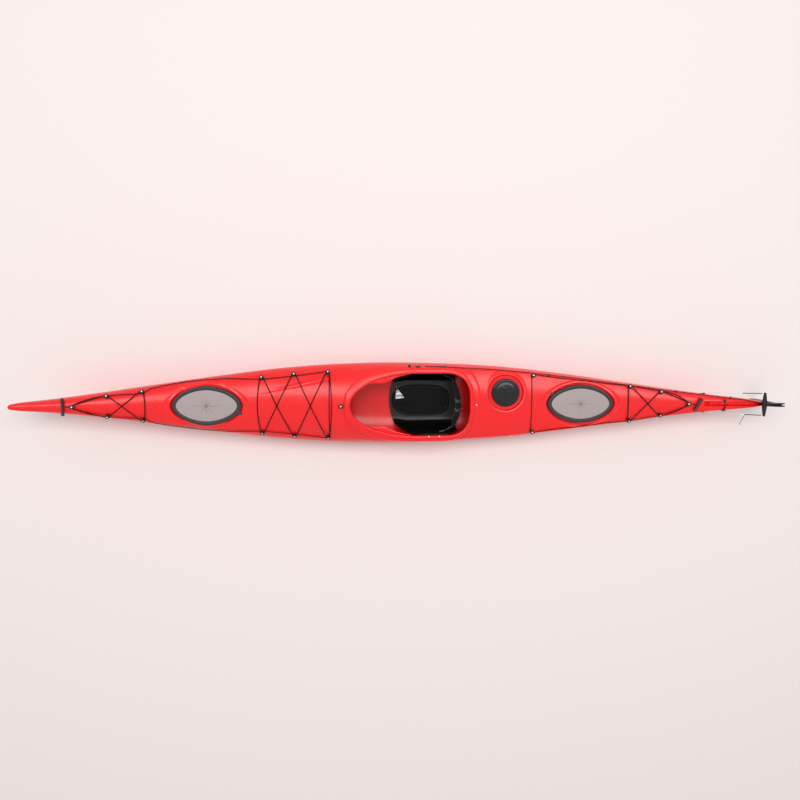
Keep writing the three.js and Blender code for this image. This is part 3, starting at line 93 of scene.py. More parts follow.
STEP_SHARES, RIDGE_SHARE, RIDGE_OFF, RIDGE_WIDTH = (0.62, 0.38), 0.22, 0.05, 0.03
HOLLOW = (0.03, 0.955)

# Cockpit: x of the front middle and rear middle, then lengths and half width of its outline
COCKPIT_START = BOW_X + LENGTH * 0.4452
COCKPIT_LENGTH, COCKPIT_HALF, COCKPIT_FRONT, COCKPIT_REAR = 801.0, 209.0, 456.0, 197.0
FRONT_MIDDLE = COCKPIT_START + COCKPIT_FRONT
REAR_MIDDLE = COCKPIT_START + COCKPIT_LENGTH - COCKPIT_REAR
LIP_REACH, LIP_POWERS = (42.0, 39.0, 31.0), (2.5, 2.6)
LIP_THICK, LIP_DROP, COAMING_WALL, COAMING_ROOT = 4.5, 18.0, 5.5, 15.0
RIM = [[-.05, 1], [.16, .885], [.46, .808], [.76, .79], [1.04, .822]]
RIM_HEIGHT = DEPTH * 1.0925
BRACE = [[0, 0], [.146, .36], [.37, 1], [.516, .76], [.665, .42], [.885, .15], [1, 0]]
BRACE_SPAN, BRACE_REACH, BRACE_THICK, BRACE_DROP = (0.149, 0.507), 33.0, 5.0, 42.0

# Oval hatches and the round day hatch
HATCH_X = {"bow": BOW_X + LENGTH * 0.2585, "stern": BOW_X + LENGTH * 0.755}
PANEL = (199.0, 104.0)
RIM_WIDE, RIM_RISE, RUBBER, RECESS_MARGIN, HATCH_DEPTH = 26.0, 6.0, 3.0, 14.0, 26.0
COLLAR_HEIGHT, COLLAR_WALL, SKIRT, OVAL_POWER = 18.0, 6.0, 12.0, 1.8
DAY_X, DAY_Y = BOW_X + LENGTH * 0.6527, 77.0
DAY_LID, DAY_RECESS, DAY_DEPTH, DAY_OPENING = 94.0, 122.0, 22.0, 80.0

# Stern groove and the slot for the toggle
GROOVE_START, GROOVE_RAMP, GROOVE_DEPTH, GROOVE_HALF, GROOVE_FLOOR = 0.9234, 0.012, 45.0, 17.0, 7.0
SLOT_X, SLOT_TURN, SLOT_HALF, SLOT_DEPTH = BOW_X + LENGTH * 0.9155, 0.5, 18.0, 9.0

# Deck fittings and cords
FITTINGS = {"bow_1": (.0898, 0), "bow_2": (.1322, .65), "bow_3": (.1767, .71), "fore_1": (.3298, .786),
            "fore_2": (.3719, .805), "fore_3": (.4162, .806), "ridge": (.4332, 0), "aft_1": (.6899, .84),
            "aft_2": (.822, .81), "aft_3": (.8646, .725), "stern": (.9016, 0)}
FOOT_RADIUS, NECK_RADIUS, NECK_GAP, DRAPE, TOUCH = 14.0, 6.0, 1.3, 0.9, 0.3
LINE, BUNGEE, UPHAUL, CABLE, TOGGLE_CORD = 5.0, 6.0, 4.0, 3.0, 5.0
LINE_LEVEL = 3 + NECK_GAP + LINE / 2
BUNGEE_LEVEL = LINE_LEVEL + LINE / 2 + NECK_GAP + BUNGEE / 2
SAMPLE, CROSSING_RISE, CROSSING_REACH, RIDE_REACH = 9.0, 7.0, 9.0, 80.0

# Rudder
PIN_X = STERN_X + 11
BRACKET = (DEPTH * 0.7045, DEPTH * 0.9433)
YOKE_FLOOR = BRACKET[1] + 0.6
YOKE_THICK, YOKE_SPAN, YOKE_ROOT, YOKE_TIP = 14.0, 82.0, 16.0, 7.0
HEAD_LENGTH, HEAD_WIDTH, HEAD_HEIGHT, PIVOT_SETBACK, PIVOT_DROP = 139.0, 24.0, 45.0, 40.0, 17.0
PIVOT = np.array([PIN_X + HEAD_LENGTH - PIVOT_SETBACK, 0, YOKE_FLOOR + HEAD_HEIGHT - PIVOT_DROP])
# The blade's foil below its pivot: top, tip, half chord, half thickness, and how far its middle is ahead
BLADE_TOP, BLADE_TIP, BLADE_REACH, BLADE_HALF, BLADE_AHEAD = 131.0, 335.0, 44.5, 4.8, 15.5

# Foot rails and pedals, where the rudder's cables start
RAIL_SHARE, RAIL_INSET, RAIL_THICK, RAIL_HEIGHT = 0.349, 12.0, 10.0, DEPTH * 0.373
PEDAL_SETBACK, SHOE_LENGTH, SHOE_THICK = 190.0, 62.0, 9.0

# Seat
SEAT_START, SEAT_LENGTH, SEAT_HALF, PAN_FLOOR = BOW_X + LENGTH * 0.4988, 436.0, 150.0, 21.0
SEAT_WIDTH = [[0, .86], [.25, 1], [1, .97]]
PAD_POWER = 3.2
CHEEK = [[0, .4], [.12, .78], [.3, .95], [.45, .985], [.8, .985], [1, .75]]
BAND_X, BAND_FOOT, BAND_HEIGHT, BAND_HALF = SEAT_START + SEAT_LENGTH * 1.0288, 104.0, 165.0, 168.0
SIDES = {"port": -1, "starboard": 1}


def srgb(code):
    """Linear colour of an sRGB hex code: c / 12.92 up to 0.04045, else ((c + 0.055) / 1.055) ^ 2.4."""
    c = np.array([int(code[i:i + 2], 16) for i in (0, 2, 4)]) / 255
    return tuple(np.where(c <= 0.04045, c / 12.92, ((c + 0.055) / 1.055) ** 2.4).tolist())


def tint(name, description, code):
    """A colour that the user may change, written as its sRGB hex code."""
    return FloatVectorProperty(
        name=name, description=description, subtype="COLOR", size=3, min=0, max=1, default=srgb(code))


class KayakSizes(bpy.types.PropertyGroup):
    """Sizes of the surfaces that the frame leaves open"""

    lip_bead: FloatProperty(
        name="Recess Bead", description="Height of the moulded bead round the day hatch's recess",
        default=0.004, min=0, max=0.01, unit="LENGTH")
    dish_depth: FloatProperty(
        name="Hatch Dish", description="How far the deck dips towards the recess of an oval hatch",
        default=0.005, min=0, max=0.01, unit="LENGTH")
    pad_rise: FloatProperty(
        name="Backrest Plinth", description="Rise of the moulded deck behind the coaming",
        default=0.007, min=0, max=0.015, unit="LENGTH")
    star_height: FloatProperty(
        name="Star Height", description="Height of the raised star in the middle of a hatch panel",
        default=0.0056, min=0, max=0.008, unit="LENGTH")
    braid_pitch: FloatProperty(
        name="Braid Pitch", description="Length of cord that one crossing of its braid takes",
        default=0.0035, min=0.001, max=0.02, unit="LENGTH")
    channel_pitch: FloatProperty(
        name="Channel Spacing", description="Distance between the sewn channels of the seat pad",
        default=0.026, min=0.01, max=0.08, unit="LENGTH")
    channel_depth: FloatProperty(
        name="Channel Depth", description="Depth of a sewn channel of the pads",
        default=0.0035, min=0, max=0.01, unit="LENGTH")
    puff_most: FloatProperty(
        name="Most Swelling", description="Furthest that the filling pushes a pad's cover",
        default=0.006, min=0.001, max=0.02, unit="LENGTH")
    cord_sides: IntProperty(
        name="Cord Sides", description="Sides of a cord's tube", default=12, min=6, max=24)
    camera_tilt: FloatProperty(
        name="Camera Tilt", description="How far the camera leans from straight above towards starboard",
        default=np.radians(7.24), subtype="ANGLE", unit="ROTATION")
    camera_turn: FloatProperty(
        name="Camera Turn", description="How far the camera leans towards the bow",
        default=np.radians(3.02), subtype="ANGLE", unit="ROTATION")
    camera_distance: FloatProperty(
        name="Camera Distance", description="From the camera to the middle of the cockpit",
        default=5.0, min=1, max=20, unit="LENGTH")
    key_power: FloatProperty(
        name="Softbox Power", description="Power of the long softbox over the starboard side",
        default=590.0, min=0, unit="POWER")
    sky: FloatProperty(
        name="Room Light", description="Strength of the light from all around", default=0.6, min=0, max=2,
        subtype="FACTOR")


class KayakColours(bpy.types.PropertyGroup):
    """Colours of the kayak's finishes"""

    hull: tint("Hull", "Rotomoulded polyethylene of the hull and deck", "F61418")
    scuff: tint("Scuffs", "Polyethylene rubbed pale along the keel", "F4797A")
    foam: tint("Bulkhead Foam", "Closed-cell foam of the bulkheads", "2C2E31")
    rubber: tint("Hatch Rubber", "Moulded rubber of the hatch covers", "1D1E20")
    panel: tint("Hatch Panel", "Textured plastic of the hatch panels", "A99C9C")
    gloss: tint("Glossy Plastic", "Polished black plastic of lids and fittings", "0C0A0A")
    nylon: tint("Nylon", "Filled nylon of toggles, pedals and cleat", "131415")
    seat: tint("Seat Plastic", "Black polyethylene of the seat pan", "080707")
    fabric: tint("Pad Fabric", "Stretch fabric over the pads", "131315")
    webbing: tint("Webbing", "Woven straps", "3A3B3E")
    cord: tint("Cord", "Braided cover of lines and bungees", "1C0C0D")
    fleck: tint("Tracer", "Red tracer yarn in the braid", "B02A2C")
    steel: tint("Stainless Steel", "Screws, pins and cables", "E2E2E2")
    aluminium: tint("Anodised Aluminium", "Foot rails", "8C9095")
    blade: tint("Rudder Blade", "Hard-anodised aluminium of the blade", "2A2C30")
    floor: tint("Floor", "Plain pale floor", "F3EAE8")


def mix(a, b, t):
    """a + (b - a) t."""
    return a + (b - a) * t


def smooth(t):
    """3 t^2 - 2 t^3 with t held between 0 and 1."""
    t = np.clip(t, 0, 1)
    return t * t * (3 - 2 * t)


def unit(v):
    """v / |v|."""
    return v / np.maximum(np.linalg.norm(v, axis=-1, keepdims=True), 1e-9)


def curve(table, place):
    """Monotone cubic through a table's rows: Hermite pieces whose inner tangents are the weighted harmonic
    mean of the two slopes beside them, or 0 where these change sign."""
    xs, ys = np.array(table, float).T
    h = np.diff(xs)
    slope = np.diff(ys) / h
    near, far = 2 * h[1:] + h[:-1], h[1:] + 2 * h[:-1]
    with np.errstate(divide="ignore", invalid="ignore"):
        inner = np.where(slope[:-1] * slope[1:] > 0,
                         (near + far) / (near / slope[:-1] + far / slope[1:]), 0)
    tangent = np.concatenate([slope[:1], inner, slope[-1:]])
    p = np.clip(place, xs[0], xs[-1])
    row = np.clip(np.searchsorted(xs, p) - 1, 0, len(h) - 1)
    t = (p - xs[row]) / h[row]
    return (ys[row] * (1 + 2 * t) * (1 - t) ** 2 + h[row] * tangent[row] * t * (1 - t) ** 2
            + ys[row + 1] * t * t * (3 - 2 * t) + h[row] * tangent[row + 1] * t * t * (t - 1))


# Surfaces: a part is its points, its faces as arrays of point numbers, and a UV for every corner


def surface(points, loop_rows=False, loop_columns=True, caps=True):
    """Grid P(row, column) joined into quads, with the last line joined to the first where it loops, and one
    face over the first and the last row as caps. UV = (arc along a row, arc along a column)."""
    rows, columns = points.shape[:2]
    r, c = np.arange(rows + loop_rows) % rows, np.arange(columns + loop_columns) % columns
    number = r[:, None] * columns + c
    grid = points[r][:, c]
    arc = [np.concatenate([[0], np.cumsum(np.linalg.norm(np.diff(grid, axis=a), axis=2).mean(1 - a))])
           for a in (1, 0)]
    uv = np.stack(np.meshgrid(*arc), -1)

    def corners(a):
        """The four corners of every quad of a grid."""
        return np.stack([a[:-1, :-1], a[:-1, 1:], a[1:, 1:], a[1:, :-1]], 2).reshape(-1, 4, *a.shape[2:])

    faces, uvs = [corners(number)], [corners(uv)]
    if caps and not loop_rows:
        for row, way in ((0, -1), (rows - 1, 1)):
            faces.append((row * columns + np.arange(columns))[None, ::way])
            uvs.append(points[row, ::way, :2][None])
    return {"points": points.reshape(-1, 3), "faces": faces, "uv": uvs}


def flipped(part):
    """The same part with every face turned round."""
    return {"points": part["points"], "faces": [f[:, ::-1] for f in part["faces"]],
            "uv": [t[:, ::-1] for t in part["uv"]]}


def outward(part):
    """Faces turned to look out, so that the sum of a . (b x c) / 6 over the triangles is positive."""
    p = part["points"] - part["points"].mean(0)
    volume = sum(float((p[f[:, :1]] * np.cross(p[f[:, 1:-1]], p[f[:, 2:]])).sum()) for f in part["faces"])
    return part if volume > 0 else flipped(part)


def turned_to(part, foot, normal, turn=0.0):
    """p' = foot + x a + y b + z n, where a, b and n are square to each other and a is turned about n."""
    n = unit(np.asarray(normal, float))
    helper = np.array([1.0, 0, 0]) if abs(n[0]) < 0.9 else UP
    b = unit(np.cross(n, helper))
    a = np.cross(b, n)
    a, b = a * np.cos(turn) + b * np.sin(turn), b * np.cos(turn) - a * np.sin(turn)
    return {**part, "points": part["points"] @ np.stack([a, b, n]) + foot}


def lathe(profile, sides=32):
    """Profile (r, z) turned about z: P = (r cos a, r sin a, z)."""
    r, z = np.array(profile, float).T[:, :, None]
    a = np.linspace(0, 2 * np.pi, sides, endpoint=False)
    return outward(surface(np.stack([r * np.cos(a), r * np.sin(a), z + 0 * a], -1)))


def sweep(path, profile, closed=False, up=UP):
    """Profile (s, h) carried along a path: P = path + s across + h over, across = along x up."""
    path = np.asarray(path, float)
    along = np.roll(path, -1, 0) - np.roll(path, 1, 0) if closed else np.gradient(path, axis=0)
    across = unit(np.cross(unit(along), up))
    over = np.cross(across, unit(along))
    profile = np.broadcast_to(profile, (len(path), *np.shape(profile)[-2:]))
    grid = (path[:, None] + across[:, None] * profile[..., :1] + over[:, None] * profile[..., 1:])
    return outward(surface(grid, loop_rows=closed))


def tube(path, diameter, closed=False, sides=12):
    """A round profile (d / 2)(cos a, sin a) carried along a path."""
    a = np.linspace(0, 2 * np.pi, sides, endpoint=False)
    return sweep(path, diameter / 2 * np.stack([np.cos(a), np.sin(a)], 1), closed)


def eased(points, axis=0, times=2, closed=True):
    """A line with each corner cut at a quarter and three quarters of its sides, some times over."""
    for _ in range(times):
        points = np.moveaxis(points, axis, 0)
        following = np.roll(points, -1, 0)
        pairs = np.stack([0.75 * points + 0.25 * following, 0.25 * points + 0.75 * following], 1)
        if closed:
            cut = pairs.reshape(-1, *points.shape[1:])
        else:
            cut = np.concatenate([points[:1], pairs[:-1].reshape(-1, *points.shape[1:]), points[-1:]])
        points = np.moveaxis(cut, 0, axis)
    return points


def oblong(low, high, half, times=2):
    """A rectangle of the plan from x = low to x = high, half wide to each side, with eased corners."""
    return eased(np.array([[low, -half], [high, -half], [high, half], [low, half]], float), times=times)


def squared(a, power):
    """cos a and sin a with their signs kept, each to the power 2 / p: a circle drawn towards a square."""
    return [np.sign(f) * np.abs(f) ** (2 / power) for f in (np.cos(a), np.sin(a))]


def arc_of(line):
    """Length along a line up to each of its points: the running sum of |P(i + 1) - P(i)|."""
    return np.concatenate([[0], np.cumsum(np.linalg.norm(np.diff(line, axis=0), axis=1))])


def read_at(line, arc, at):
    """The points of a line at given lengths along it."""
    return np.stack([np.interp(at, arc, column) for column in line.T], 1)


def slab(outline, low, high, edge):
    """A plate over an outline of the plan: rings at heights low..high, drawn in by edge (1 - sin a) where
    they are edge (1 - cos a) from a face, so that its edges are rounded."""
    outline = np.asarray(outline, float)
    way = unit(np.roll(outline, -1, 0) - np.roll(outline, 1, 0))
    inwards = np.stack([-way[:, 1], way[:, 0]], 1)
    area = (outline[:, 0] * np.roll(outline[:, 1], -1) - np.roll(outline[:, 0], -1) * outline[:, 1]).sum()
    inwards = inwards if area > 0 else -inwards
    a = np.linspace(0, np.pi / 2, 4)
    inset = edge * (1 - np.sin(np.concatenate([a, a[::-1]])))
    height = np.concatenate([low + edge * (1 - np.cos(a)), high - edge * (1 - np.cos(a[::-1]))])
    plan = outline + inset[:, None, None] * inwards
    return outward(surface(np.concatenate([plan, np.broadcast_to(
        height[:, None, None], (*plan.shape[:2], 1))], 2)))


def plate(outline, low, high, edge, origin=(0, 0, 0)):
    """A slab stood on edge: its outline lies in x and z, and its thickness runs along y."""
    made = slab(outline, low, high, edge)
    x, y, z = made["points"].T
    return outward({**made, "points": np.stack([x, z, y], 1) + origin})


def piece(name, parts, finish, body="hull", replaces=(), slot=None, sharp=40, ride=True):
    """One object from its parts: points and UVs in metres, smooth faces but for edges sharper than an angle,
    a finish, and the body and frame nodes that it stands for; its slot is not used."""
    parts = parts if isinstance(parts, (list, tuple)) else [parts]
    starts = np.cumsum([0] + [len(p["points"]) for p in parts])
    faces = [row for p, start in zip(parts, starts) for f in p["faces"] for row in (f + start).tolist()]
    uv = np.concatenate([t.reshape(-1, 2) for p in parts for t in p["uv"]])
    mesh = bpy.data.meshes.new(name)
    mesh.from_pydata((np.concatenate([p["points"] for p in parts]) * MM).tolist(), [], faces)
    mesh.uv_layers.new(name="Surface").data.foreach_set("uv", (uv * MM).astype(np.float32).ravel())
    mesh.polygons.foreach_set("use_smooth", np.ones(len(mesh.polygons), bool))
    mesh.set_sharp_from_angle(angle=np.radians(sharp))
    mesh.materials.append(bpy.data.materials[finish])
    made = bpy.data.objects.new(name, mesh)
    bpy.context.scene.collection.objects.link(made)
    if ride:
        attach(made, body)
    if replaces:
        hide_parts(*replaces)
    return made


# The hull's form


def section(share, inset=0.0):
    """Sizes of the section at a share of the length, drawn in from the outer skin by an inset."""
    beam = HALF_BEAM * curve(BEAM, share) - inset
    keel = DEPTH * curve(KEEL, share) + inset
    edge = DEPTH * curve(EDGE, share) - inset
    flat = KEEL_HALF * curve(KEEL_WIDTH, share)
    return {"beam": beam, "keel": keel, "edge": edge, "ridge": DEPTH * curve(RIDGE, share) - inset,
            "widest": mix(keel, edge, curve(WIDEST, share)),
            "flat": np.minimum(np.maximum(flat - inset, flat / 2), beam / 2),
            "bilge": curve(BILGE, share), "start": curve(ROUND_START, share),
            "power": curve(ROUND_POWER, share), "bulge": KNEE_BULGE * curve(BULGE, share),
            "crease": curve(CREASE, share), "second": CREASE_APART * smooth((share - 0.33) / 0.06)}


def deck_form(s, across, rise):
    """z = widest + (edge - widest) rise + (ridge - edge)(1 - across^2.3) + the knee panel's two steps and the
    ridge 0.22 bulge exp(-((across - crease - 0.05) / 0.03)^2) between them."""
    arch = (s["ridge"] - s["edge"]) * (1 - across ** CROWN_POWER)
    steps = [smooth((s["crease"] + off - across) / CREASE_WIDTH + 0.5) for off in (0, s["second"])]
    near, far = (share * step for share, step in zip(STEP_SHARES, steps))
    ridge = np.exp(-((across - s["crease"] - RIDGE_OFF) / RIDGE_WIDTH) ** 2)
    panel = s["bulge"] * (near + far + RIDGE_SHARE * ridge)
    return s["widest"] + (s["edge"] - s["widest"]) * rise + arch + panel


def deck_base(x, y, inset=0.0):
    """Height of the plain deck over a point of the plan."""
    s = section((x - BOW_X) / LENGTH, inset)
    across = np.minimum(np.abs(y) / s["beam"], 1)
    t = np.minimum((1 - across) / (1 - s["start"]), 1)
    return deck_form(s, across, (1 - (1 - t) ** s["power"]) ** (1 / s["power"]))


def keyhole(front=0.0, side=0.0, rear=0.0, powers=(2, 3)):
    """The cockpit's outline grown forward, sideways and aft."""
    return (FRONT_MIDDLE, REAR_MIDDLE, 0.0, COCKPIT_FRONT + front, COCKPIT_REAR + rear, COCKPIT_HALF + side,
            *powers)


def oval_outline(x, y, length, width, power=OVAL_POWER):
    """An oval about (x, y) as outline_gap reads it: ends, middle, half sizes and powers."""
    return (x, x, y, length, length, width, power, power)


def outline_gap(x, y, shape):
    """Distance outside a rounded outline, to first order, and the way out:
    g = (|dx / a|^p + |dy / b|^p)^(1/p), distance = (g - 1) / |grad g|, way = grad g / |grad g|."""
    x0, x1, y0, front, rear, half, p_front, p_rear = shape
    ahead = x < (x0 + x1) / 2
    reach, p = np.where(ahead, front, rear), np.where(ahead, p_front, p_rear)
    u = (np.minimum(x - x0, 0) + np.maximum(x - x1, 0)) / reach
    v = (y - y0) / half
    g = np.maximum((np.abs(u) ** p + np.abs(v) ** p) ** (1 / p), 1e-3)
    gx = g ** (1 - p) * np.abs(u) ** (p - 1) * np.sign(u) / reach
    gy = g ** (1 - p) * np.abs(v) ** (p - 1) * np.sign(v) / half
    size = np.maximum(np.hypot(gx, gy), 1e-6)
    return (g - 1) / size, gx / size, gy / size


HATCH_FLOOR = {name: float(deck_base(x, 0.0)) - HATCH_DEPTH for name, x in HATCH_X.items()}
DAY_FLOOR = float(deck_base(DAY_X, 0.0)) - DAY_DEPTH
RECESSES = [(oval_outline(x, 0.0, *(h + RIM_WIDE + RECESS_MARGIN for h in PANEL)), HATCH_FLOOR[name])
            for name, x in HATCH_X.items()]
RECESSES.append((oval_outline(DAY_X, DAY_Y, DAY_RECESS, DAY_RECESS, 2), DAY_FLOOR))
COLLAR = [h + RIM_WIDE - SKIRT - 0.6 for h in PANEL]
HOLES = [keyhole(2.75, 2.75, 2.75),
         *(oval_outline(x, 0.0, *(c - COLLAR_WALL / 2 for c in COLLAR)) for x in HATCH_X.values()),
         oval_outline(DAY_X, DAY_Y, DAY_OPENING, DAY_OPENING, 2)]
RECESS_WALL, MARGIN, DISH_MORE = 8.0, 16.0, (30.0, 30.0, 16.0)
# Where the outer skin is cut round a recess, and each recess's own rings: middle, half sizes, power, hole
CUTS = [HOLES[0]] + [(*shape[:3], *(h + MARGIN for h in shape[3:6]), *shape[6:]) for shape, _ in RECESSES]


def carved(x, y, z, grow=0.0):
    """The deck's height z with its plinth, recesses, groove and slot. Each is a smooth step of the distance
    to its outline, z' = floor + (z - floor) (3 t^2 - 2 t^3) with t = distance / wall + 1, and the outline
    grows by the wall's thickness on the inner skin. The groove is the lower of z and its floor with
    its flanks."""
    sizes = bpy.context.scene.kayak_sizes
    lip = outline_gap(x, y, keyhole(*LIP_REACH, LIP_POWERS))[0] - grow
    z = z + sizes.pad_rise / MM * smooth((45 - lip) / 14) * smooth((x - 300) / 150)
    for shape, floor in RECESSES:
        gap = outline_gap(x, y, shape)[0] - grow
        shoulder = z + np.maximum(floor - grow + 6 - z, 0) * smooth(1 - gap / 25)
        if shape[6] == 2:
            shoulder = shoulder + sizes.lip_bead / MM * np.exp(-((gap - 11) / 9) ** 2)
        else:
            dish = (*shape[:3], *(h + more for h, more in zip(shape[3:6], DISH_MORE)), *shape[6:])
            wider = outline_gap(x, y, dish)[0] - grow
            shoulder = shoulder - sizes.dish_depth / MM * (1 - smooth(wider / 11 + 0.6))
        z = mix(floor - grow, shoulder, smooth(gap / RECESS_WALL + 1))
    share = (x - BOW_X) / LENGTH
    depth = GROOVE_DEPTH * np.clip((share - GROOVE_START) / GROOVE_RAMP, 0, 1)
    flare = (GROOVE_HALF - GROOVE_FLOOR) / GROOVE_DEPTH
    narrow = np.minimum(0.62 * HALF_BEAM * curve(BEAM, share) / GROOVE_HALF, 1)
    low = (GROOVE_FLOOR + flare * (GROOVE_DEPTH - depth)) * narrow + grow
    floor = deck_base(x, 0 * y) - depth - grow
    z = np.where(share > GROOVE_START, np.minimum(
        z, floor + np.maximum(np.abs(y) - low, 0) / (flare * narrow)), z)
    off = np.abs((x - SLOT_X) * np.cos(SLOT_TURN) - y * np.sin(SLOT_TURN)) - SLOT_HALF - grow
    bottom = float(deck_base(SLOT_X, 0.0)) - SLOT_DEPTH - grow
    return mix(np.minimum(z, bottom), z, smooth(off / 4 + 1))


def deck_z(x, y):
    """Height of the finished deck over a point of the plan."""
    return carved(x, y, deck_base(x, y))


def deck_point(x, y):
    """The deck's point over (x, y), and its unit normal (-dz/dx, -dz/dy, 1)."""
    x, y = np.asarray(x, float), np.asarray(y, float)
    z = deck_z(x, y)
    slope_x = (deck_z(x + 2, y) - deck_z(x - 2, y)) / 4
    slope_y = (deck_z(x, y + 2) - deck_z(x, y - 2)) / 4
    return np.stack([x, y, z], -1), unit(np.stack([-slope_x, -slope_y, np.ones_like(z)], -1))


def beam_at(share):
    """Half the hull's width at a share of its length."""
    return HALF_BEAM * curve(BEAM, share)


def on_deck(share, across, lift=TOUCH, span=FOOT_RADIUS):
    """Foot and normal of a fitting: the deck's mean slope over its span, raised clear of the deck."""
    x, y = BOW_X + LENGTH * share, float(across * beam_at(share))
    rise = [float(deck_base(x + dx, y + dy) - deck_base(x - dx, y - dy)) for dx, dy in ((span, 0), (0, span))]
    normal = unit(np.array([-rise[0], -rise[1], 2 * span]))
    # The deck is felt at the points of a spiral, r = span sqrt(i / n) at i times the golden angle
    count, golden = 120, 2.4
    i = np.arange(count)
    reach = span * np.sqrt(i / (count - 1))
    under = deck_point(x + reach * np.cos(golden * i), y + reach * np.sin(golden * i))[0]
    middle = deck_point(x, y)[0]
    return middle + normal * (float(((under - middle) @ normal).max()) + lift), normal


# Cords: their course is that of the frame's own, on the finer deck


def around_neck(before, here, after, level, radius, held):
    """Arc of a cord round a fitting's neck, on the side away from the stops before and after it."""
    foot, normal = held[here]
    middle = foot + normal * level

    def towards(stop):
        """The way from the neck to a stop, square to the fitting's normal."""
        goal = held[stop][0] if isinstance(stop, str) else laid(stop, 0)
        return unit((goal - foot) - normal * ((goal - foot) @ normal))

    come, go = towards(before), towards(after)
    inside = come + go
    outside = unit(-inside) if np.linalg.norm(inside) > 0.05 else unit(np.cross(come, normal))
    first, final = (unit(outside - way * (outside @ way)) for way in (come, go))
    turn = float(np.arccos(np.clip(first @ final, -1, 1)))
    axis = unit(np.cross(first, final))
    a = np.linspace(0, turn, max(int(np.ceil(turn / 0.3)), 1) + 1)[:, None]
    return middle + (NECK_RADIUS + radius + NECK_GAP) * (
        first * np.cos(a) + np.cross(axis, first) * np.sin(a) + axis * (axis @ first) * (1 - np.cos(a)))


def laid(place, radius):
    """A cord's point on the deck, its radius and the drape gap above it along the normal."""
    share, across = place
    point, normal = deck_point(BOW_X + LENGTH * share, across * beam_at(share))
    return point + normal * (radius + DRAPE)


def leg(start, end, radius, bow=0.0, over=False, level=0.0, reach=1.0):
    """A taut stretch of cord: samples of the straight course, bowed sideways by bow sin(pi t), held above the
    deck, then z = max over a <= i <= b of the chord from sample a to sample b, the string's upper hull."""
    span = end - start
    length = float(np.hypot(*span[:2]))
    steps = max(int(np.ceil(length / SAMPLE)), 2)
    t = np.linspace(0, 1, steps + 1)
    p = start + span * t[:, None] + unit(np.cross(span, UP)) * (bow * np.sin(np.pi * t))[:, None]
    near = np.minimum(t, 1 - t) * length
    under, normal = deck_point(p[:, 0], p[:, 1])
    held = (level - NECK_GAP / 2) * smooth(2 * (reach - near) / reach)
    crossing = np.abs(t - 0.5) * length < CROSSING_REACH
    height = np.maximum(radius + DRAPE, held) + over * CROSSING_RISE * crossing
    lifted = under[:, 2] + height / np.maximum(normal[:, 2], 0.5)
    z = np.where(near < (FOOT_RADIUS if level else 0.3), p[:, 2], lifted)
    a, b, i = np.ogrid[:steps + 1, :steps + 1, :steps + 1]
    chord = z[a] + (z[b] - z[a]) * (i - a) / np.maximum(b - a, 1)
    p[:, 2] = np.where((a <= i) & (i <= b), chord, -np.inf).max((0, 1))
    return p[1:-1]


def lashing(stops, level, diameter, held, legs=None):
    """A closed line from stop to stop: arcs round the necks, taut legs between them."""
    radius, count = diameter / 2, len(stops)
    reach = RIDE_REACH if level > LINE_LEVEL else (FOOT_RADIUS + radius) * 2
    turns = [around_neck(stops[i - 1], here, stops[(i + 1) % count], level, radius, held)
             if isinstance(here, str) else laid(here, radius)[None] for i, here in enumerate(stops)]
    points = []
    for i, here in enumerate(stops):
        then = stops[(i + 1) % count]
        options = {"level": level, "reach": reach, **(legs or {}).get((here, then), {})}
        points += [turns[i], leg(turns[i][-1], turns[(i + 1) % count][0], radius, **options)]
    return np.concatenate(points)


def corded(name, path, diameter, finish, slot, stiffness="limp", closed=False, lay="taut", far_end="object",
           **where):
    """A tube along a path, made into one piece."""
    sides = bpy.context.scene.kayak_sizes.cord_sides
    made = piece(name, tube(path, diameter, closed, sides), finish, slot=slot, **where)
    return made


def held_fittings():
    """Foot and normal of every deck fitting, by its name in the frame."""
    held = {}
    for name, (share, across) in FITTINGS.items():
        for side_name, side in (SIDES.items() if across else [("", 1)]):
            held[f"{name}_{side_name}" if side_name else name] = on_deck(share, side * across)
    return held


# Finishes


def node(tree, kind, inputs=None, **settings):
    """Adds one shader node: settings are its own fields, inputs gives each socket a value or a link."""
    made = tree.nodes.new("ShaderNode" + kind)
    for field, value in settings.items():
        setattr(made, field, value)
    for socket, value in (inputs or {}).items():
        if isinstance(value, bpy.types.NodeSocket):
            tree.links.new(value, made.inputs[socket])
        else:
            made.inputs[socket].default_value = value
    return made


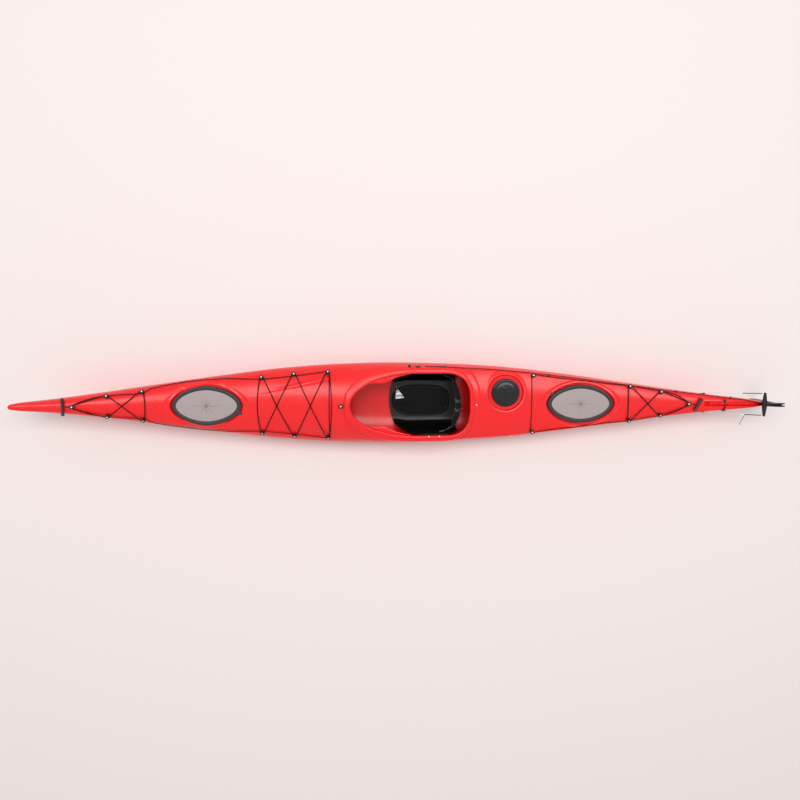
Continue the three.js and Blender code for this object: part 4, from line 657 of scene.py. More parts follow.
def finish(name, colour, roughness, grain, relief, mottle=0.12, gloss_spread=0.06, space="Object",
           stretch=(1, 1, 1), **shader):
    """A moulded, cast or drawn surface. Noise of size `grain` mm lifts it by `relief` mm, and noise 30 times
    as coarse darkens its colour by up to `mottle` and spreads its roughness. Returns the nodes and sockets
    that a pattern adds to."""
    material = bpy.data.materials.new(name)
    material.use_nodes = True
    tree = material.node_tree
    tree.nodes.clear()
    place = node(tree, "TexCoord").outputs[space]
    spread = node(tree, "Mapping", {"Vector": place, "Scale": stretch}).outputs[0]
    fine, broad = (
        node(tree, "TexNoise", {"Vector": spread, "Scale": 1 / (size * MM), "Detail": detail}).outputs[0]
        for size, detail in ((grain, 2.0), (30 * grain, 4.0)))
    dark = tuple(c * (1 - mottle) for c in colour)
    tone = node(tree, "Mix", {0: broad, 6: (*dark, 1), 7: (*colour, 1)}, data_type="RGBA").outputs[2]
    rough = node(tree, "MapRange", {"Value": broad, "From Min": 0.3, "From Max": 0.7,
                                    "To Min": roughness - gloss_spread,
                                    "To Max": roughness + gloss_spread}).outputs[0]
    bump = node(tree, "Bump", {"Height": fine, "Strength": 1.0, "Distance": relief * MM})
    skin = node(tree, "BsdfPrincipled", {
        "Base Color": tone, "Roughness": rough, "Normal": bump.outputs[0], **shader})
    node(tree, "OutputMaterial", {"Surface": skin.outputs[0]})
    return {"tree": tree, "place": place, "tone": tone, "rough": rough, "bump": bump, "shader": skin}


def recoloured(made, mask, colour, roughness=None):
    """Lays a second colour, and a second roughness, over a finish where a mask is 1."""
    tree, shader = made["tree"], made["shader"]
    made["tone"] = node(tree, "Mix", {0: mask, 6: made["tone"], 7: (*colour, 1)}, data_type="RGBA").outputs[2]
    tree.links.new(made["tone"], shader.inputs["Base Color"])
    if roughness is not None:
        made["rough"] = node(tree, "Mix", {0: mask, 2: made["rough"], 3: roughness}).outputs[0]
        tree.links.new(made["rough"], shader.inputs["Roughness"])


def embossed(made, height, relief):
    """Adds a second relief, in mm, under the finish's own."""
    under = node(made["tree"], "Bump", {"Height": height, "Strength": 1.0, "Distance": relief * MM})
    made["tree"].links.new(under.outputs[0], made["bump"].inputs["Normal"])


def hull_plastic(c):
    """Rotomoulded polyethylene: solid colour all through, a soft gloss with orange peel from the mould, and
    pale dry scuffs where the keel is dragged ashore."""
    made = finish("rotomoulded_polyethylene", c.hull, 0.25, 3.5, 0.03, mottle=0.08, gloss_spread=0.05,
                  IOR=1.46)
    tree = made["tree"]
    height = node(tree, "SeparateXYZ", {"Vector": made["place"]}).outputs[2]
    low = node(tree, "MapRange", {"Value": height, "From Min": 0.05, "From Max": 0.0,
                                  "To Min": 0.0, "To Max": 1.0}).outputs[0]
    facing = node(tree, "SeparateXYZ", {"Vector": node(tree, "TexCoord").outputs["Normal"]}).outputs[2]
    under = node(tree, "MapRange", {"Value": facing, "From Min": 0.0, "From Max": -0.2}).outputs[0]
    low = node(tree, "Math", {0: low, 1: under}, operation="MULTIPLY").outputs[0]
    drag = node(tree, "Mapping", {"Vector": made["place"], "Scale": (8, 260, 260)}).outputs[0]
    lines = node(tree, "TexNoise", {"Vector": drag, "Scale": 1.0, "Detail": 5.0}).outputs[0]
    worn = node(tree, "MapRange", {"Value": lines, "From Min": 0.54, "From Max": 0.66}).outputs[0]
    mask = node(tree, "Math", {0: worn, 1: low}, operation="MULTIPLY").outputs[0]
    recoloured(made, mask, c.scuff, 0.62)


def braided(name, c, pitch, diameter, fleck):
    """Braided polyester over a core: two families of yarns cross at the braid's pitch, dull, with a red
    tracer that comes up now and then. The yarns are drawn half as many as real, to show."""
    made = finish(name, c.cord, 0.82, 0.8, 0.05, space="UV",
                  **{"Sheen Weight": 0.03, "Specular IOR Level": 0.2})
    tree = made["tree"]
    around, along = node(tree, "SeparateXYZ", {"Vector": made["place"]}).outputs[:2]
    yarns = []
    for way in (1, -1):
        turns = node(tree, "Math", {0: around, 1: way * 3 / (np.pi * diameter * MM)},
                     operation="MULTIPLY").outputs[0]
        lengths = node(tree, "Math", {0: along, 1: 1 / pitch, 2: turns}, operation="MULTIPLY_ADD").outputs[0]
        yarns.append(node(tree, "Math", {0: lengths, 1: 0.5}, operation="PINGPONG").outputs[0])
    weave = node(tree, "Math", {0: yarns[0], 1: yarns[1]}, operation="MAXIMUM").outputs[0]
    embossed(made, weave, 0.5)
    spot = node(tree, "TexVoronoi", {"Vector": made["place"], "Scale": 1 / (fleck * MM)}).outputs[0]
    mask = node(tree, "MapRange", {"Value": spot, "From Min": 0.2, "From Max": 0.14}).outputs[0]
    recoloured(made, mask, c.fleck)


def woven(name, colour, thread, relief, space="Object", axes=("X", "Y"), **shader):
    """Woven or knitted cloth: two wave patterns at right angles, a thread apart; drawn coarser than real,
    with painted shade darkening the low gaps between the threads.
    """
    made = finish(name, colour, 0.86, thread / 2, 0.04, space=space, **shader)
    tree = made["tree"]
    waves = [node(tree, "TexWave", {"Vector": made["place"], "Scale": 0.314 / (thread * MM),
                                    "Distortion": 0.6}, bands_direction=axis).outputs[1] for axis in axes]
    weave = node(tree, "Math", {0: waves[0], 1: waves[1]}, operation="MULTIPLY").outputs[0]
    embossed(made, weave, relief)
    # Painted shade: the colour is darkened where the weave is lowest, in the gaps between the threads
    gap_shade = node(tree, "MapRange", {"Value": weave, "From Min": 0.25, "From Max": 0.0,
                                     "To Min": 0.0, "To Max": 0.5}).outputs[0]
    recoloured(made, gap_shade, tuple(v * 0.45 for v in colour))


def build_finishes():
    """Every finish of the kayak, named for what it is made of and how it was made."""
    c, s = bpy.context.scene.kayak_colours, bpy.context.scene.kayak_sizes
    hull_plastic(c)
    # Closed-cell foam: matt, with the small open bubbles of a cut block
    foam = finish("cut_closed_cell_foam", c.foam, 0.9, 2.0, 0.2, mottle=0.25)
    bubbles = node(foam["tree"], "TexVoronoi", {"Vector": foam["place"], "Scale": 1 / (4 * MM)}).outputs[0]
    embossed(foam, bubbles, 0.5)
    # Moulded rubber: satin, faintly dusty in its mould texture
    finish("moulded_hatch_rubber", c.rubber, 0.5, 1.5, 0.05, mottle=0.2, IOR=1.52)
    # Textured ABS: fine leather-like grain that spreads the light
    panel = finish("textured_abs_panel", c.panel, 0.5, 1.2, 0.1, mottle=0.06)
    pebbles = node(panel["tree"], "TexVoronoi", {"Vector": panel["place"], "Scale": 1 / (3 * MM)},
                   feature="SMOOTH_F1").outputs[0]
    embossed(panel, pebbles, 0.22)
    # Polished ABS: deep black with sharp reflections and faint sink marks
    finish("polished_abs", c.gloss, 0.16, 14.0, 0.05, mottle=0.3, gloss_spread=0.05, IOR=1.43)
    # Glass-filled nylon: satin with a grainy skin
    finish("filled_nylon", c.nylon, 0.42, 0.9, 0.06, mottle=0.25, IOR=1.53)
    # Blow-moulded polyethylene of the seat: soft gloss, wavy surface
    finish("blow_moulded_seat", c.seat, 0.32, 9.0, 0.12, mottle=0.3, IOR=1.4)
    # Stretch fabric over foam: fine knit with a slight sheen
    woven("knitted_pad_cover", c.fabric, 2.2, 0.35, **{
        "Sheen Weight": 0.05, "Sheen Roughness": 0.5, "Specular IOR Level": 0.2})
    # Woven polyester webbing: ribs across its width
    woven("woven_webbing", c.webbing, 2.4, 0.45, space="UV", **{"Sheen Weight": 0.2})
    braided("braided_deck_line", c, s.braid_pitch, LINE, 16)
    braided("braided_shock_cord", c, s.braid_pitch * 1.2, BUNGEE, 22)
    # Stainless steel: bright, finely brushed
    finish("brushed_stainless", c.steel, 0.32, 0.7, 0.02, mottle=0.15, Metallic=1.0)
    # Stranded wire: bright ridges along the lay of the strands
    wire = finish("stranded_wire", c.steel, 0.3, 0.6, 0.05, mottle=0.4, space="UV", Metallic=1.0)
    tree = wire["tree"]
    around, along = node(tree, "SeparateXYZ", {"Vector": wire["place"]}).outputs[:2]
    lay = node(tree, "Math", {0: around, 1: 6 / (np.pi * CABLE * MM)}, operation="MULTIPLY").outputs[0]
    strands = node(tree, "Math", {0: along, 1: 1 / (12 * MM), 2: lay}, operation="MULTIPLY_ADD").outputs[0]
    embossed(wire, node(tree, "Math", {0: strands, 1: 0.5}, operation="PINGPONG").outputs[0], 0.5)
    # Anodised aluminium: drawn lines along the blade under a satin film
    finish("anodised_aluminium", c.aluminium, 0.34, 0.8, 0.03, mottle=0.1, stretch=(1, 1, 0.08), Metallic=1.0)
    finish("hard_anodised_blade", c.blade, 0.36, 0.8, 0.03, mottle=0.1, stretch=(1, 1, 0.08), Metallic=0.6)
    finish("matt_floor_paper", c.floor, 0.95, 4.0, 0.02, mottle=0.01)


# The stage


def set_stage():
    """A pale floor under the keel, even light from all around with a brighter backdrop, a long softbox over
    the starboard side, and the photograph's camera."""
    scene, s = bpy.context.scene, bpy.context.scene.kayak_sizes
    scene.view_settings.view_transform = "Standard"
    half, level = 9000.0, -0.5
    grid = np.stack(np.meshgrid([-half, half], [-half, half]), -1)
    floor = surface(np.concatenate([grid, np.full((2, 2, 1), level)], 2), loop_columns=False, caps=False)
    piece("floor", floor, "matt_floor_paper", ride=False)

    world = scene.world or bpy.data.worlds.new("room")
    scene.world = world
    world.use_nodes = True
    tree = world.node_tree
    tree.nodes.clear()
    path = node(tree, "LightPath").outputs
    seen = path["Is Camera Ray"]
    for way in ("Is Glossy Ray", "Is Transmission Ray"):
        seen = node(tree, "Math", {0: seen, 1: path[way]}, operation="MAXIMUM").outputs[0]
    light = node(tree, "Background", {"Color": (1, 0.985, 0.975, 1), "Strength": s.sky}).outputs[0]
    backdrop = node(tree, "Background", {"Color": (1, 0.96, 0.95, 1), "Strength": 1.0}).outputs[0]
    shown = node(tree, "MixShader", {0: seen, 1: light, 2: backdrop}).outputs[0]
    node(tree, "OutputWorld", {"Surface": shown})

    lamp = bpy.data.lights.new("softbox", "AREA")
    lamp.shape, lamp.size, lamp.size_y, lamp.energy = "RECTANGLE", 13.0, 3.4, s.key_power
    box = bpy.data.objects.new("softbox", lamp)
    # It hangs over the starboard side and faces the keel
    box.location = place = (0.2, 3.2, 9.4)
    box.rotation_euler = (-np.arctan2(place[1], place[2]), 0, 0)
    scene.collection.objects.link(box)

    tilt, turn, roll, distance = s.camera_tilt, s.camera_turn, np.radians(0.21), s.camera_distance
    back = np.array([-np.sin(turn) * np.cos(tilt), np.sin(tilt), np.cos(turn) * np.cos(tilt)])
    right = np.array([np.cos(turn), 0, np.sin(turn)])
    above = np.cross(back, right)
    right, above = (np.cos(roll) * right + np.sin(roll) * above, np.cos(roll) * above - np.sin(roll) * right)
    view = bpy.data.cameras.new("photograph")
    # What it looks at, in mm, and the lens that frames the boat as the photograph does from 5 m away
    aim, lens_at_5 = np.array([26.8, 28.9, 250.0]), 33.54
    view.lens, view.sensor_width, view.clip_end = lens_at_5 * distance / 5, 36.0, 100.0
    camera = bpy.data.objects.new("photograph", view)
    camera.matrix_world = Matrix.Translation(aim * MM + distance * back) @ Matrix(
        np.stack([right, above, back], 1).tolist()).to_4x4()
    scene.collection.objects.link(camera)
    scene.camera = camera


# Cords


def lay_deck_cords():
    """The grab lines and bungees of the two decks."""
    held = held_fittings()
    edge = [(.1861, .85), (.2087, .92), (.2317, .94), (.2496, .93), (.2832, .89)]
    stern_edge = [(.72, .86), (.755, .87), (.79, .86)]

    def other(route):
        """The same route on the port side."""
        return [(share, -across) for share, across in route]

    s, p = "_starboard", "_port"
    lines = {
        "bow_deck_line": (
            ["fore_3" + s, "fore_2" + s, "fore_1" + s, *edge[::-1], "bow_3" + s, "bow_2" + s, "bow_1",
             "bow_2" + p, "bow_3" + p, *other(edge), "fore_1" + p, "fore_2" + p, "fore_3" + p],
            {("bow_2" + s, "bow_1"): {"bow": 9}, ("bow_1", "bow_2" + p): {"bow": 9},
             ("fore_3" + p, "fore_3" + s): {"bow": 16}}),
        "stern_deck_line": (
            ["aft_1" + p, "aft_1" + s, *stern_edge, "aft_2" + s, "aft_3" + s, "stern", "aft_3" + p,
             "aft_2" + p, *other(stern_edge)[::-1]],
            {("aft_3" + s, "stern"): {"bow": -16}, ("stern", "aft_3" + p): {"bow": -9}})}
    bungees = {
        "bow_bungee": (["bow_1", "bow_2" + s, "bow_3" + p, "bow_3" + s, "bow_2" + p],
                       {("bow_3" + s, "bow_2" + p): {"over": True}, ("bow_3" + p, "bow_3" + s): {"bow": 9}}),
        "fore_bungee": (["fore_3" + p, "fore_2" + s, "fore_1" + p, "fore_1" + s, "fore_2" + p, "fore_3" + s],
                        {("fore_1" + s, "fore_2" + p): {"over": True},
                         ("fore_2" + p, "fore_3" + s): {"over": True},
                         ("fore_1" + p, "fore_1" + s): {"bow": -16}}),
        "aft_bungee": (["stern", "aft_3" + s, "aft_2" + p, "aft_2" + s, "aft_3" + p],
                       {("aft_2" + s, "aft_3" + p): {"over": True}})}
    for name, (stops, legs) in lines.items():
        path = lashing(stops, LINE_LEVEL, LINE, held, legs)
        corded("laid_" + name, path, LINE, "braided_deck_line", "cord_black", closed=True, replaces=(name,))
    for name, (stops, legs) in bungees.items():
        path = lashing(stops, BUNGEE_LEVEL, BUNGEE, held, legs)
        corded("laid_" + name, path, BUNGEE, "braided_shock_cord", "cord_black", closed=True,
               replaces=(name,))


def lay_rudder_lines():
    """Steel cables from the pedals to the yoke, the cord that lifts the blade, and the blade's keeper."""
    shares = [(.428, .7, .4), (.46, .88, .47), (.5, .885, .5), (.6, .88, .51), (.66, .86, .52),
              (.7, .86, .54), (.78, .84, .55), (.86, .82, .56), (.915, .82, .6), (.94, 1.25, .66)]
    rail = HALF_BEAM * float(curve(BEAM, RAIL_SHARE)) * 0.93 - WALL - RAIL_INSET - RAIL_THICK
    hold = YOKE_SPAN - YOKE_TIP
    arm = mix(YOKE_ROOT, YOKE_TIP, (hold - HEAD_WIDTH / 2) / (YOKE_SPAN - HEAD_WIDTH / 2))
    for name, side in SIDES.items():
        route = [[BOW_X + LENGTH * RAIL_SHARE + PEDAL_SETBACK + SHOE_LENGTH + TOUCH,
                  side * (rail - SHOE_THICK / 2 - TOUCH), RAIL_HEIGHT]]
        route += [[BOW_X + LENGTH * s, side * float(beam_at(s)) * w, DEPTH * h] for s, w, h in shares]
        route += [[PIN_X - arm - DRAPE, side * hold, YOKE_FLOOR + YOKE_THICK / 2]]
        route = np.array(route)
        ahead, path = spaced(route[:2], 12), spaced(route[1:], 24)
        options = {"stiffness": "stiff", "ride": False, "replaces": (f"rudder_cable_{name}",)}
        cable = corded(f"wire_pedal_cable_{name}", ahead, CABLE, "stranded_wire", "steel", **options)
        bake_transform(cable)
        cable = corded(f"wire_rudder_cable_{name}", path, CABLE, "stranded_wire", "steel", **options)
        first, last = path[-9], route[-1]
        # A grommet where the cable leaves the hull's side, a beam's half width out
        out = (1 - shares[-2][1]) / (shares[-1][1] - shares[-2][1])
        leave = mix(route[-3], route[-2], np.linspace(out - 0.12, out + 0.16, 5)[:, None])
        piece(f"cable_grommet_{name}", tube(leave, 10), "moulded_hatch_rubber", slot="rubber_black")
        # A sleeve and a ferrule at the yoke, and the cable's loose end on the port side
        crimp = 2365.0 if side > 0 else 2385.0
        share = (crimp - route[-2][0]) / (last - route[-2])[0]
        sleeve = mix(route[-2], last, np.linspace(share, 0.972, 12)[:, None])
        ferrule = mix(route[-2], last, np.linspace(share - 0.06, share - 0.005, 5)[:, None])
        follow = [cable,
                  piece(f"cable_sleeve_{name}", tube(sleeve, 5.5), "filled_nylon", ride=False,
                        slot="nylon_black"),
                  piece(f"cable_ferrule_{name}", tube(ferrule, 7.5), "brushed_stainless", ride=False,
                        slot="steel")]
        if side < 0:
            bend = np.array([[0, -4, 0], [-8, -26, -3], [-18, -50, -10], [-20, -66, -20], [-12, -76, -32.0]])
            tail = eased(sleeve[0] + bend, 0, 3, closed=False)
            follow.append(corded("loose_cable_tail", tail, CABLE, "filled_nylon", "nylon_black",
                                 stiffness="stiff", ride=False, far_end="bare"))
        for each in follow:
            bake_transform(each)
    route = [(.545, .936), (.58, .925), (.63, .92), (.68, .915), (.73, .91), (.78, .905), (.83, .9),
             (.88, .89), (.92, .88), (.95, .84), (.975, .8)]
    stops = [laid(place, UPHAUL / 2) for place in route]
    path = [stops[:1]] + [part for a, b in zip(stops, stops[1:]) for part in (leg(a, b, UPHAUL / 2), [b])]
    end = np.array([PIN_X - YOKE_ROOT - DRAPE, HEAD_WIDTH / 2 - UPHAUL, YOKE_FLOOR + YOKE_THICK / 2])
    path = np.concatenate([*path, mix(stops[-1], end, np.linspace(0, 1, 6)[1:, None])])
    cord = corded("laid_uphaul_cord", path, UPHAUL, "braided_deck_line", "cord_black", ride=False,
                  replaces=("uphaul_cord",))
    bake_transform(cord)
    ends = [laid((.9515, across), BUNGEE / 2) for across in (-0.86, 0.43)]
    path = np.concatenate([ends[:1], leg(*ends, BUNGEE), ends[1:]])
    corded("laid_keeper_bungee", path, BUNGEE, "braided_shock_cord", "cord_black",
           replaces=("keeper_bungee",))


def spaced(route, step, cut=18.0):
    """A route with its corners rounded by cut mm and points at most a step apart."""
    way = unit(np.diff(route, axis=0))
    inner = route[1:-1]
    before, after = inner - way[:-1] * cut, inner + way[1:] * cut
    t = np.linspace(0, 1, 5)[:, None, None]
    bends = (before * (1 - t) ** 2 + 2 * inner * t * (1 - t) + after * t ** 2).transpose(1, 0, 2)
    line = np.concatenate([route[:1], bends.reshape(-1, 3), route[-1:]])
    arc = arc_of(line)
    extra = np.concatenate([np.linspace(a, b, int((b - a) / step) + 2)[:-1] for a, b in zip(arc, arc[1:])])
    at = np.append(extra, arc[-1])
    return read_at(line, arc, at)


def hang_toggles():
    """The two carrying toggles: a waisted bar, and the cord that holds it to the last fitting."""
    held = held_fittings()
    for name, share, across, length, turn, fitting in (
            ("bow_toggle", 0.0783, 0.0, 117.0, 0.0, "bow_1"),
            ("stern_toggle", 0.9155, -0.1, 99.0, -SLOT_TURN, "stern")):
        x, y = BOW_X + LENGTH * share, float(across * beam_at(share))
        centre = deck_point(x, y)[0] + UP * 11.6
        axis = np.array([-np.sin(turn), np.cos(turn), 0])
        # A waisted bar: radius 7.9 + 3.1 |t|^1.7, with a groove for its cord and rounded ends
        t = np.linspace(-1, 1, 61)
        end = np.sqrt(np.maximum(1 - ((np.abs(t) - 0.9) / 0.1).clip(0) ** 2, 0.02))
        radius = (7.9 + 3.1 * np.abs(t) ** 1.7 - 0.6 * np.exp(-(t * length / 8) ** 2)) * end
        bar = lathe(np.stack([radius, t * length / 2], 1), 28)
        piece(name + "_bar", turned_to(bar, centre, axis), "filled_nylon", body=name, replaces=(name,),
              slot="nylon_black")
        foot, normal = held[fitting]
        radius = TOGGLE_CORD / 2
        way = unit((centre - foot) - normal * ((centre - foot) @ normal))
        start = foot + normal * (radius + TOUCH) + way * (FOOT_RADIUS + TOUCH)
        finish_at = centre - way * (9 / np.cos(turn) + TOUCH)
        path = np.concatenate([[start], leg(start, finish_at, radius), [finish_at]])
        cord = corded(name + "_lanyard", path, TOGGLE_CORD, "braided_deck_line", "cord_black", ride=False,
                      replaces=(name + "_cord",))
        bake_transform(cord)


# Hull, coaming and thigh braces


def half_rings(share, inset, steps):
    """Half sections, keel to ridge: the flat strip; the bilge y = flat + (beam - flat) sin^(2/p) a,
    z = widest + (keel - widest) cos^(2/p) a; the rounded gunwale; and the arched deck."""
    s = {key: value[:, None] for key, value in section(share, inset).items()}
    strip, bilge, rounding, deck = steps
    t = np.linspace(0, 1, strip, endpoint=False)
    y, z = [s["flat"] * t], [s["keel"] + 0 * t]
    a = np.pi / 2 * np.linspace(0, 1, bilge + 1)
    y.append(mix(s["flat"], s["beam"], np.sin(a) ** (2 / s["bilge"])))
    z.append(mix(s["widest"], s["keel"], np.cos(a).clip(0) ** (2 / s["bilge"])))
    a = np.pi / 2 * np.linspace(0, 1, rounding + 1)[1:]
    across = 1 - (1 - s["start"]) * (1 - np.cos(a).clip(0) ** (2 / s["power"]))
    y.append(s["beam"] * across)
    z.append(deck_form(s, across, np.sin(a) ** (2 / s["power"])))
    across = s["start"] * (1 - np.linspace(0, 1, deck + 1)[1:])
    y.append(s["beam"] * across)
    z.append(deck_form(s, across, 1.0))
    return np.concatenate(y, 1), np.concatenate(z, 1), strip + bilge + 1


def stations(zones, plain, low, high):
    """Places along the hull, each a step on from the last: s(x) = the sum of 1 / step(x), read at whole s."""
    x = np.arange(low, high + 0.5, 1.0)
    step = np.full(len(x), plain)
    for a, b, fine in zones:
        step[(x > a) & (x < b)] = np.minimum(step[(x > a) & (x < b)], fine)
    count = np.concatenate([[0], np.cumsum(1 / step[:-1])])
    whole = int(round(count[-1]))
    return np.interp(np.linspace(0, count[-1], whole + 1), count, x)


def hull_skin(x, steps, inset, reach, cuts):
    """One skin of the hull as a grid of sections. The deck's points near a cut's outline are moved onto it,
    so that its edge is a clean line, and the faces inside it are left out. Returns the part and each cut's
    edge, in order of angle about its middle."""
    share = (x - BOW_X) / LENGTH
    y, z, first = half_rings(share, inset, steps)
    last = y.shape[1] - 1
    y, z = np.concatenate([y, -y[:, last - 1:0:-1]], 1), np.concatenate([z, z[:, last - 1:0:-1]], 1)
    column = np.arange(y.shape[1])
    deck = np.broadcast_to((column >= first) & (column <= 2 * last - first), y.shape)
    x = np.broadcast_to(x[:, None], y.shape).copy()
    z = np.where(deck, carved(x, y, z, inset), z)
    bow = np.sqrt(1 - (1 - ((x - NOSE_X) / NOSE_ROUND).clip(0, 1)) ** 2).clip(0.12)
    stern = mix(0.8, 1.0, np.sqrt(1 - (1 - ((STERN_X - x) / 6).clip(0, 1)) ** 2))
    middle = (z.max(1, keepdims=True) + z.min(1, keepdims=True)) / 2
    scale = np.minimum(bow, stern)
    y, z = y * scale, middle + (z - middle) * scale

    def moved(where, shape):
        """Carries points back along the way out of an outline, by their distance outside it."""
        gap, way_x, way_y = outline_gap(x, y, shape)
        x[where] -= (gap * way_x)[where]
        y[where] -= (gap * way_y)[where]

    changed = np.zeros(y.shape, bool)
    number = np.arange(y.size).reshape(y.shape)
    across = np.concatenate([number, number[:, :1]], 1)
    quads = np.stack([across[:-1, :-1], across[:-1, 1:], across[1:, 1:], across[1:, :-1]], 2).reshape(-1, 4)
    loops = []
    for shape in cuts:
        near = deck & (np.abs(outline_gap(x, y, shape)[0]) < reach)
        moved(near, shape)
        gap = np.where(deck, outline_gap(x, y, shape)[0], 1e3)
        gap[near] = 0
        seen = gap.ravel()[quads]
        mixed = quads[(seen > 0.01).any(1) & (seen < -0.01).any(1)]
        pulled = np.zeros(y.size, bool)
        pulled[mixed.ravel()] = True
        pulled = pulled.reshape(y.shape) & (gap < -0.01)
        for _ in range(3):
            moved(pulled, shape)
        gap[pulled] = 0
        changed |= near | pulled
        inside = (gap.ravel()[quads] <= 0.01).all(1)
        gone, quads = quads[inside], quads[~inside]
        rim = np.intersect1d(gone, quads)
        centre = (shape[0] + shape[1]) / 2, shape[2]
        angle = np.arctan2(y.ravel()[rim] - centre[1], x.ravel()[rim] - centre[0])
        loops.append((rim[np.argsort(angle)], np.sort(angle)))
    fresh = carved(x[changed], y[changed], deck_base(x[changed], y[changed], inset), inset)
    z[changed] = fresh
    points = np.stack([x, y, z], -1)
    caps = [number[0, ::-1][None], number[-1][None]]
    part = {"points": points.reshape(-1, 3), "faces": [quads, *caps],
            "uv": [np.zeros((*f.shape, 2)) for f in (quads, *caps)]}
    return part, loops


def bridge(upper, lower, offset):
    """Triangles between two loops in order of angle: each edge of one joins the other's last point
    before it."""
    (a, turn_a), (b, turn_b) = upper, lower
    b = b + offset
    of_b = (np.searchsorted(turn_b, np.roll(turn_a, -1)) - 1) % len(b)
    of_a = (np.searchsorted(turn_a, np.roll(turn_b, -1), side="right") - 1) % len(a)
    return np.concatenate([np.stack([a, np.roll(a, -1), b[of_b]], 1),
                           np.stack([np.roll(b, -1), b, a[of_a]], 1)])


def mould_hull():
    """The hull and deck: an outer and an inner skin a wall apart, joined round every opening. Each recess is
    a set of rings of its own, P = middle + ((a - d) cos^(2/p) t, (b - d) sin^(2/p) t), close together down
    its wall, from the edge of the outer skin's cut to the opening in its floor."""
    recess, beside = PANEL[0] + RIM_WIDE + RECESS_MARGIN, 45.0
    # Where sections stand closer: from, to, and the outer skin's distance in units of 5 mm
    zones = [(x - recess - beside, x + recess + beside, 1.4) for x in HATCH_X.values()]
    zones += [(COCKPIT_START - 8, COCKPIT_START + COCKPIT_LENGTH + 90, 1),
              (BOW_X + LENGTH * BULGE[0][0], COCKPIT_START, 1.8),
              (DAY_X - DAY_RECESS - beside, DAY_X + DAY_RECESS + beside, 1.4),
              (BOW_X + LENGTH * GROOVE_START, STERN_X, 1),
              (SLOT_X - 90, SLOT_X + 90, 0.7)]
    x = stations([(a, b, 5.0 * f) for a, b, f in zones], 16.0, NOSE_X + NOSE_ROUND, STERN_X - 6)
    nose = NOSE_ROUND * (1 - np.cos(np.linspace(0, np.pi / 2, 9)))[:-1]
    x = np.concatenate([NOSE_X + nose, x, STERN_X - 6 + 6 * np.sin(np.linspace(0, np.pi / 2, 5))[1:]])
    outer, edges = hull_skin(x, (3, 10, 8, 42), 0.0, 2.3, CUTS)
    low, high = (BOW_X + LENGTH * share for share in HOLLOW)
    x = stations([(a, min(b, high), 11.0) for a, b, _ in zones], 45.0, low, high)
    inner, inner_edges = hull_skin(x, (2, 7, 3, 15), WALL, 3.5, HOLES)
    points, faces, holes = [outer["points"]], list(outer["faces"]), edges[:1]
    count = len(outer["points"])
    # How far each ring is drawn in from its cut, closest together down the recess's wall
    down = np.array([1.5, 4, 7, 10, 13, 15, 16, 16.8, 17.8, 19, 20.2, 21.4, 22.4, 23.4, 24.2, 25.5, 29, 34,
                     40])
    for cut, hole, edge in zip(CUTS[1:], HOLES[1:], edges[1:]):
        a = np.linspace(-np.pi, np.pi, 161)[:-1]
        c, s = squared(a, cut[6])
        d = np.append(down, cut[3] - hole[3])[:, None]
        ring_x, ring_y = cut[0] + (cut[3] - d) * c, cut[2] + (cut[5] - d) * s
        rings = surface(np.stack([ring_x, ring_y, deck_z(ring_x, ring_y)], -1), caps=False)
        number = count + np.arange(len(rings["points"])).reshape(len(d), -1)
        angle = np.arctan2(ring_y - cut[2], ring_x - cut[0])
        order = np.argsort(angle[0])
        faces += [bridge(edge, (number[0][order], angle[0][order]), 0), *(f + count for f in rings["faces"])]
        order = np.argsort(angle[-1])
        holes = holes + [(number[-1][order], angle[-1][order])]
        points.append(rings["points"])
        count += len(rings["points"])
    inner = flipped(inner)
    points.append(inner["points"])
    faces += [f + count for f in inner["faces"]] + [bridge(a, b, count) for a, b in zip(holes, inner_edges)]
    hull = {"points": np.concatenate(points), "faces": faces, "uv": [np.zeros((*f.shape, 2)) for f in faces]}
    piece("moulded_hull", hull, "rotomoulded_polyethylene", replaces=("hull_shell",), slot="hull_red",
          sharp=50)


def keyhole_line(front, side, rear, powers, turns):
    """Half the cockpit's outline, bow to stern, at turns from 0 to 2: x = x0 - (L + f) cos^(2/p) a,
    y = (W + s) sin^(2/p) a over the first half, and the same with the rear's sizes over the second."""
    a = np.pi / 2 * np.clip(turns, 0, 1)
    b = np.pi / 2 * np.clip(turns - 1, 0, 1)
    ahead = turns <= 1
    x = np.where(ahead, FRONT_MIDDLE - (COCKPIT_FRONT + front) * np.cos(a).clip(0) ** (2 / powers[0]),
                 REAR_MIDDLE + (COCKPIT_REAR + rear) * np.sin(b) ** (2 / powers[1]))
    y = (COCKPIT_HALF + side) * np.where(ahead, np.sin(a) ** (2 / powers[0]),
                                         np.cos(b).clip(0) ** (2 / powers[1]))
    return np.stack([x, y], 1)


def rim_height(x):
    """Height of the coaming's rim over a place along the cockpit."""
    return RIM_HEIGHT * curve(RIM, (x - COCKPIT_START) / COCKPIT_LENGTH)


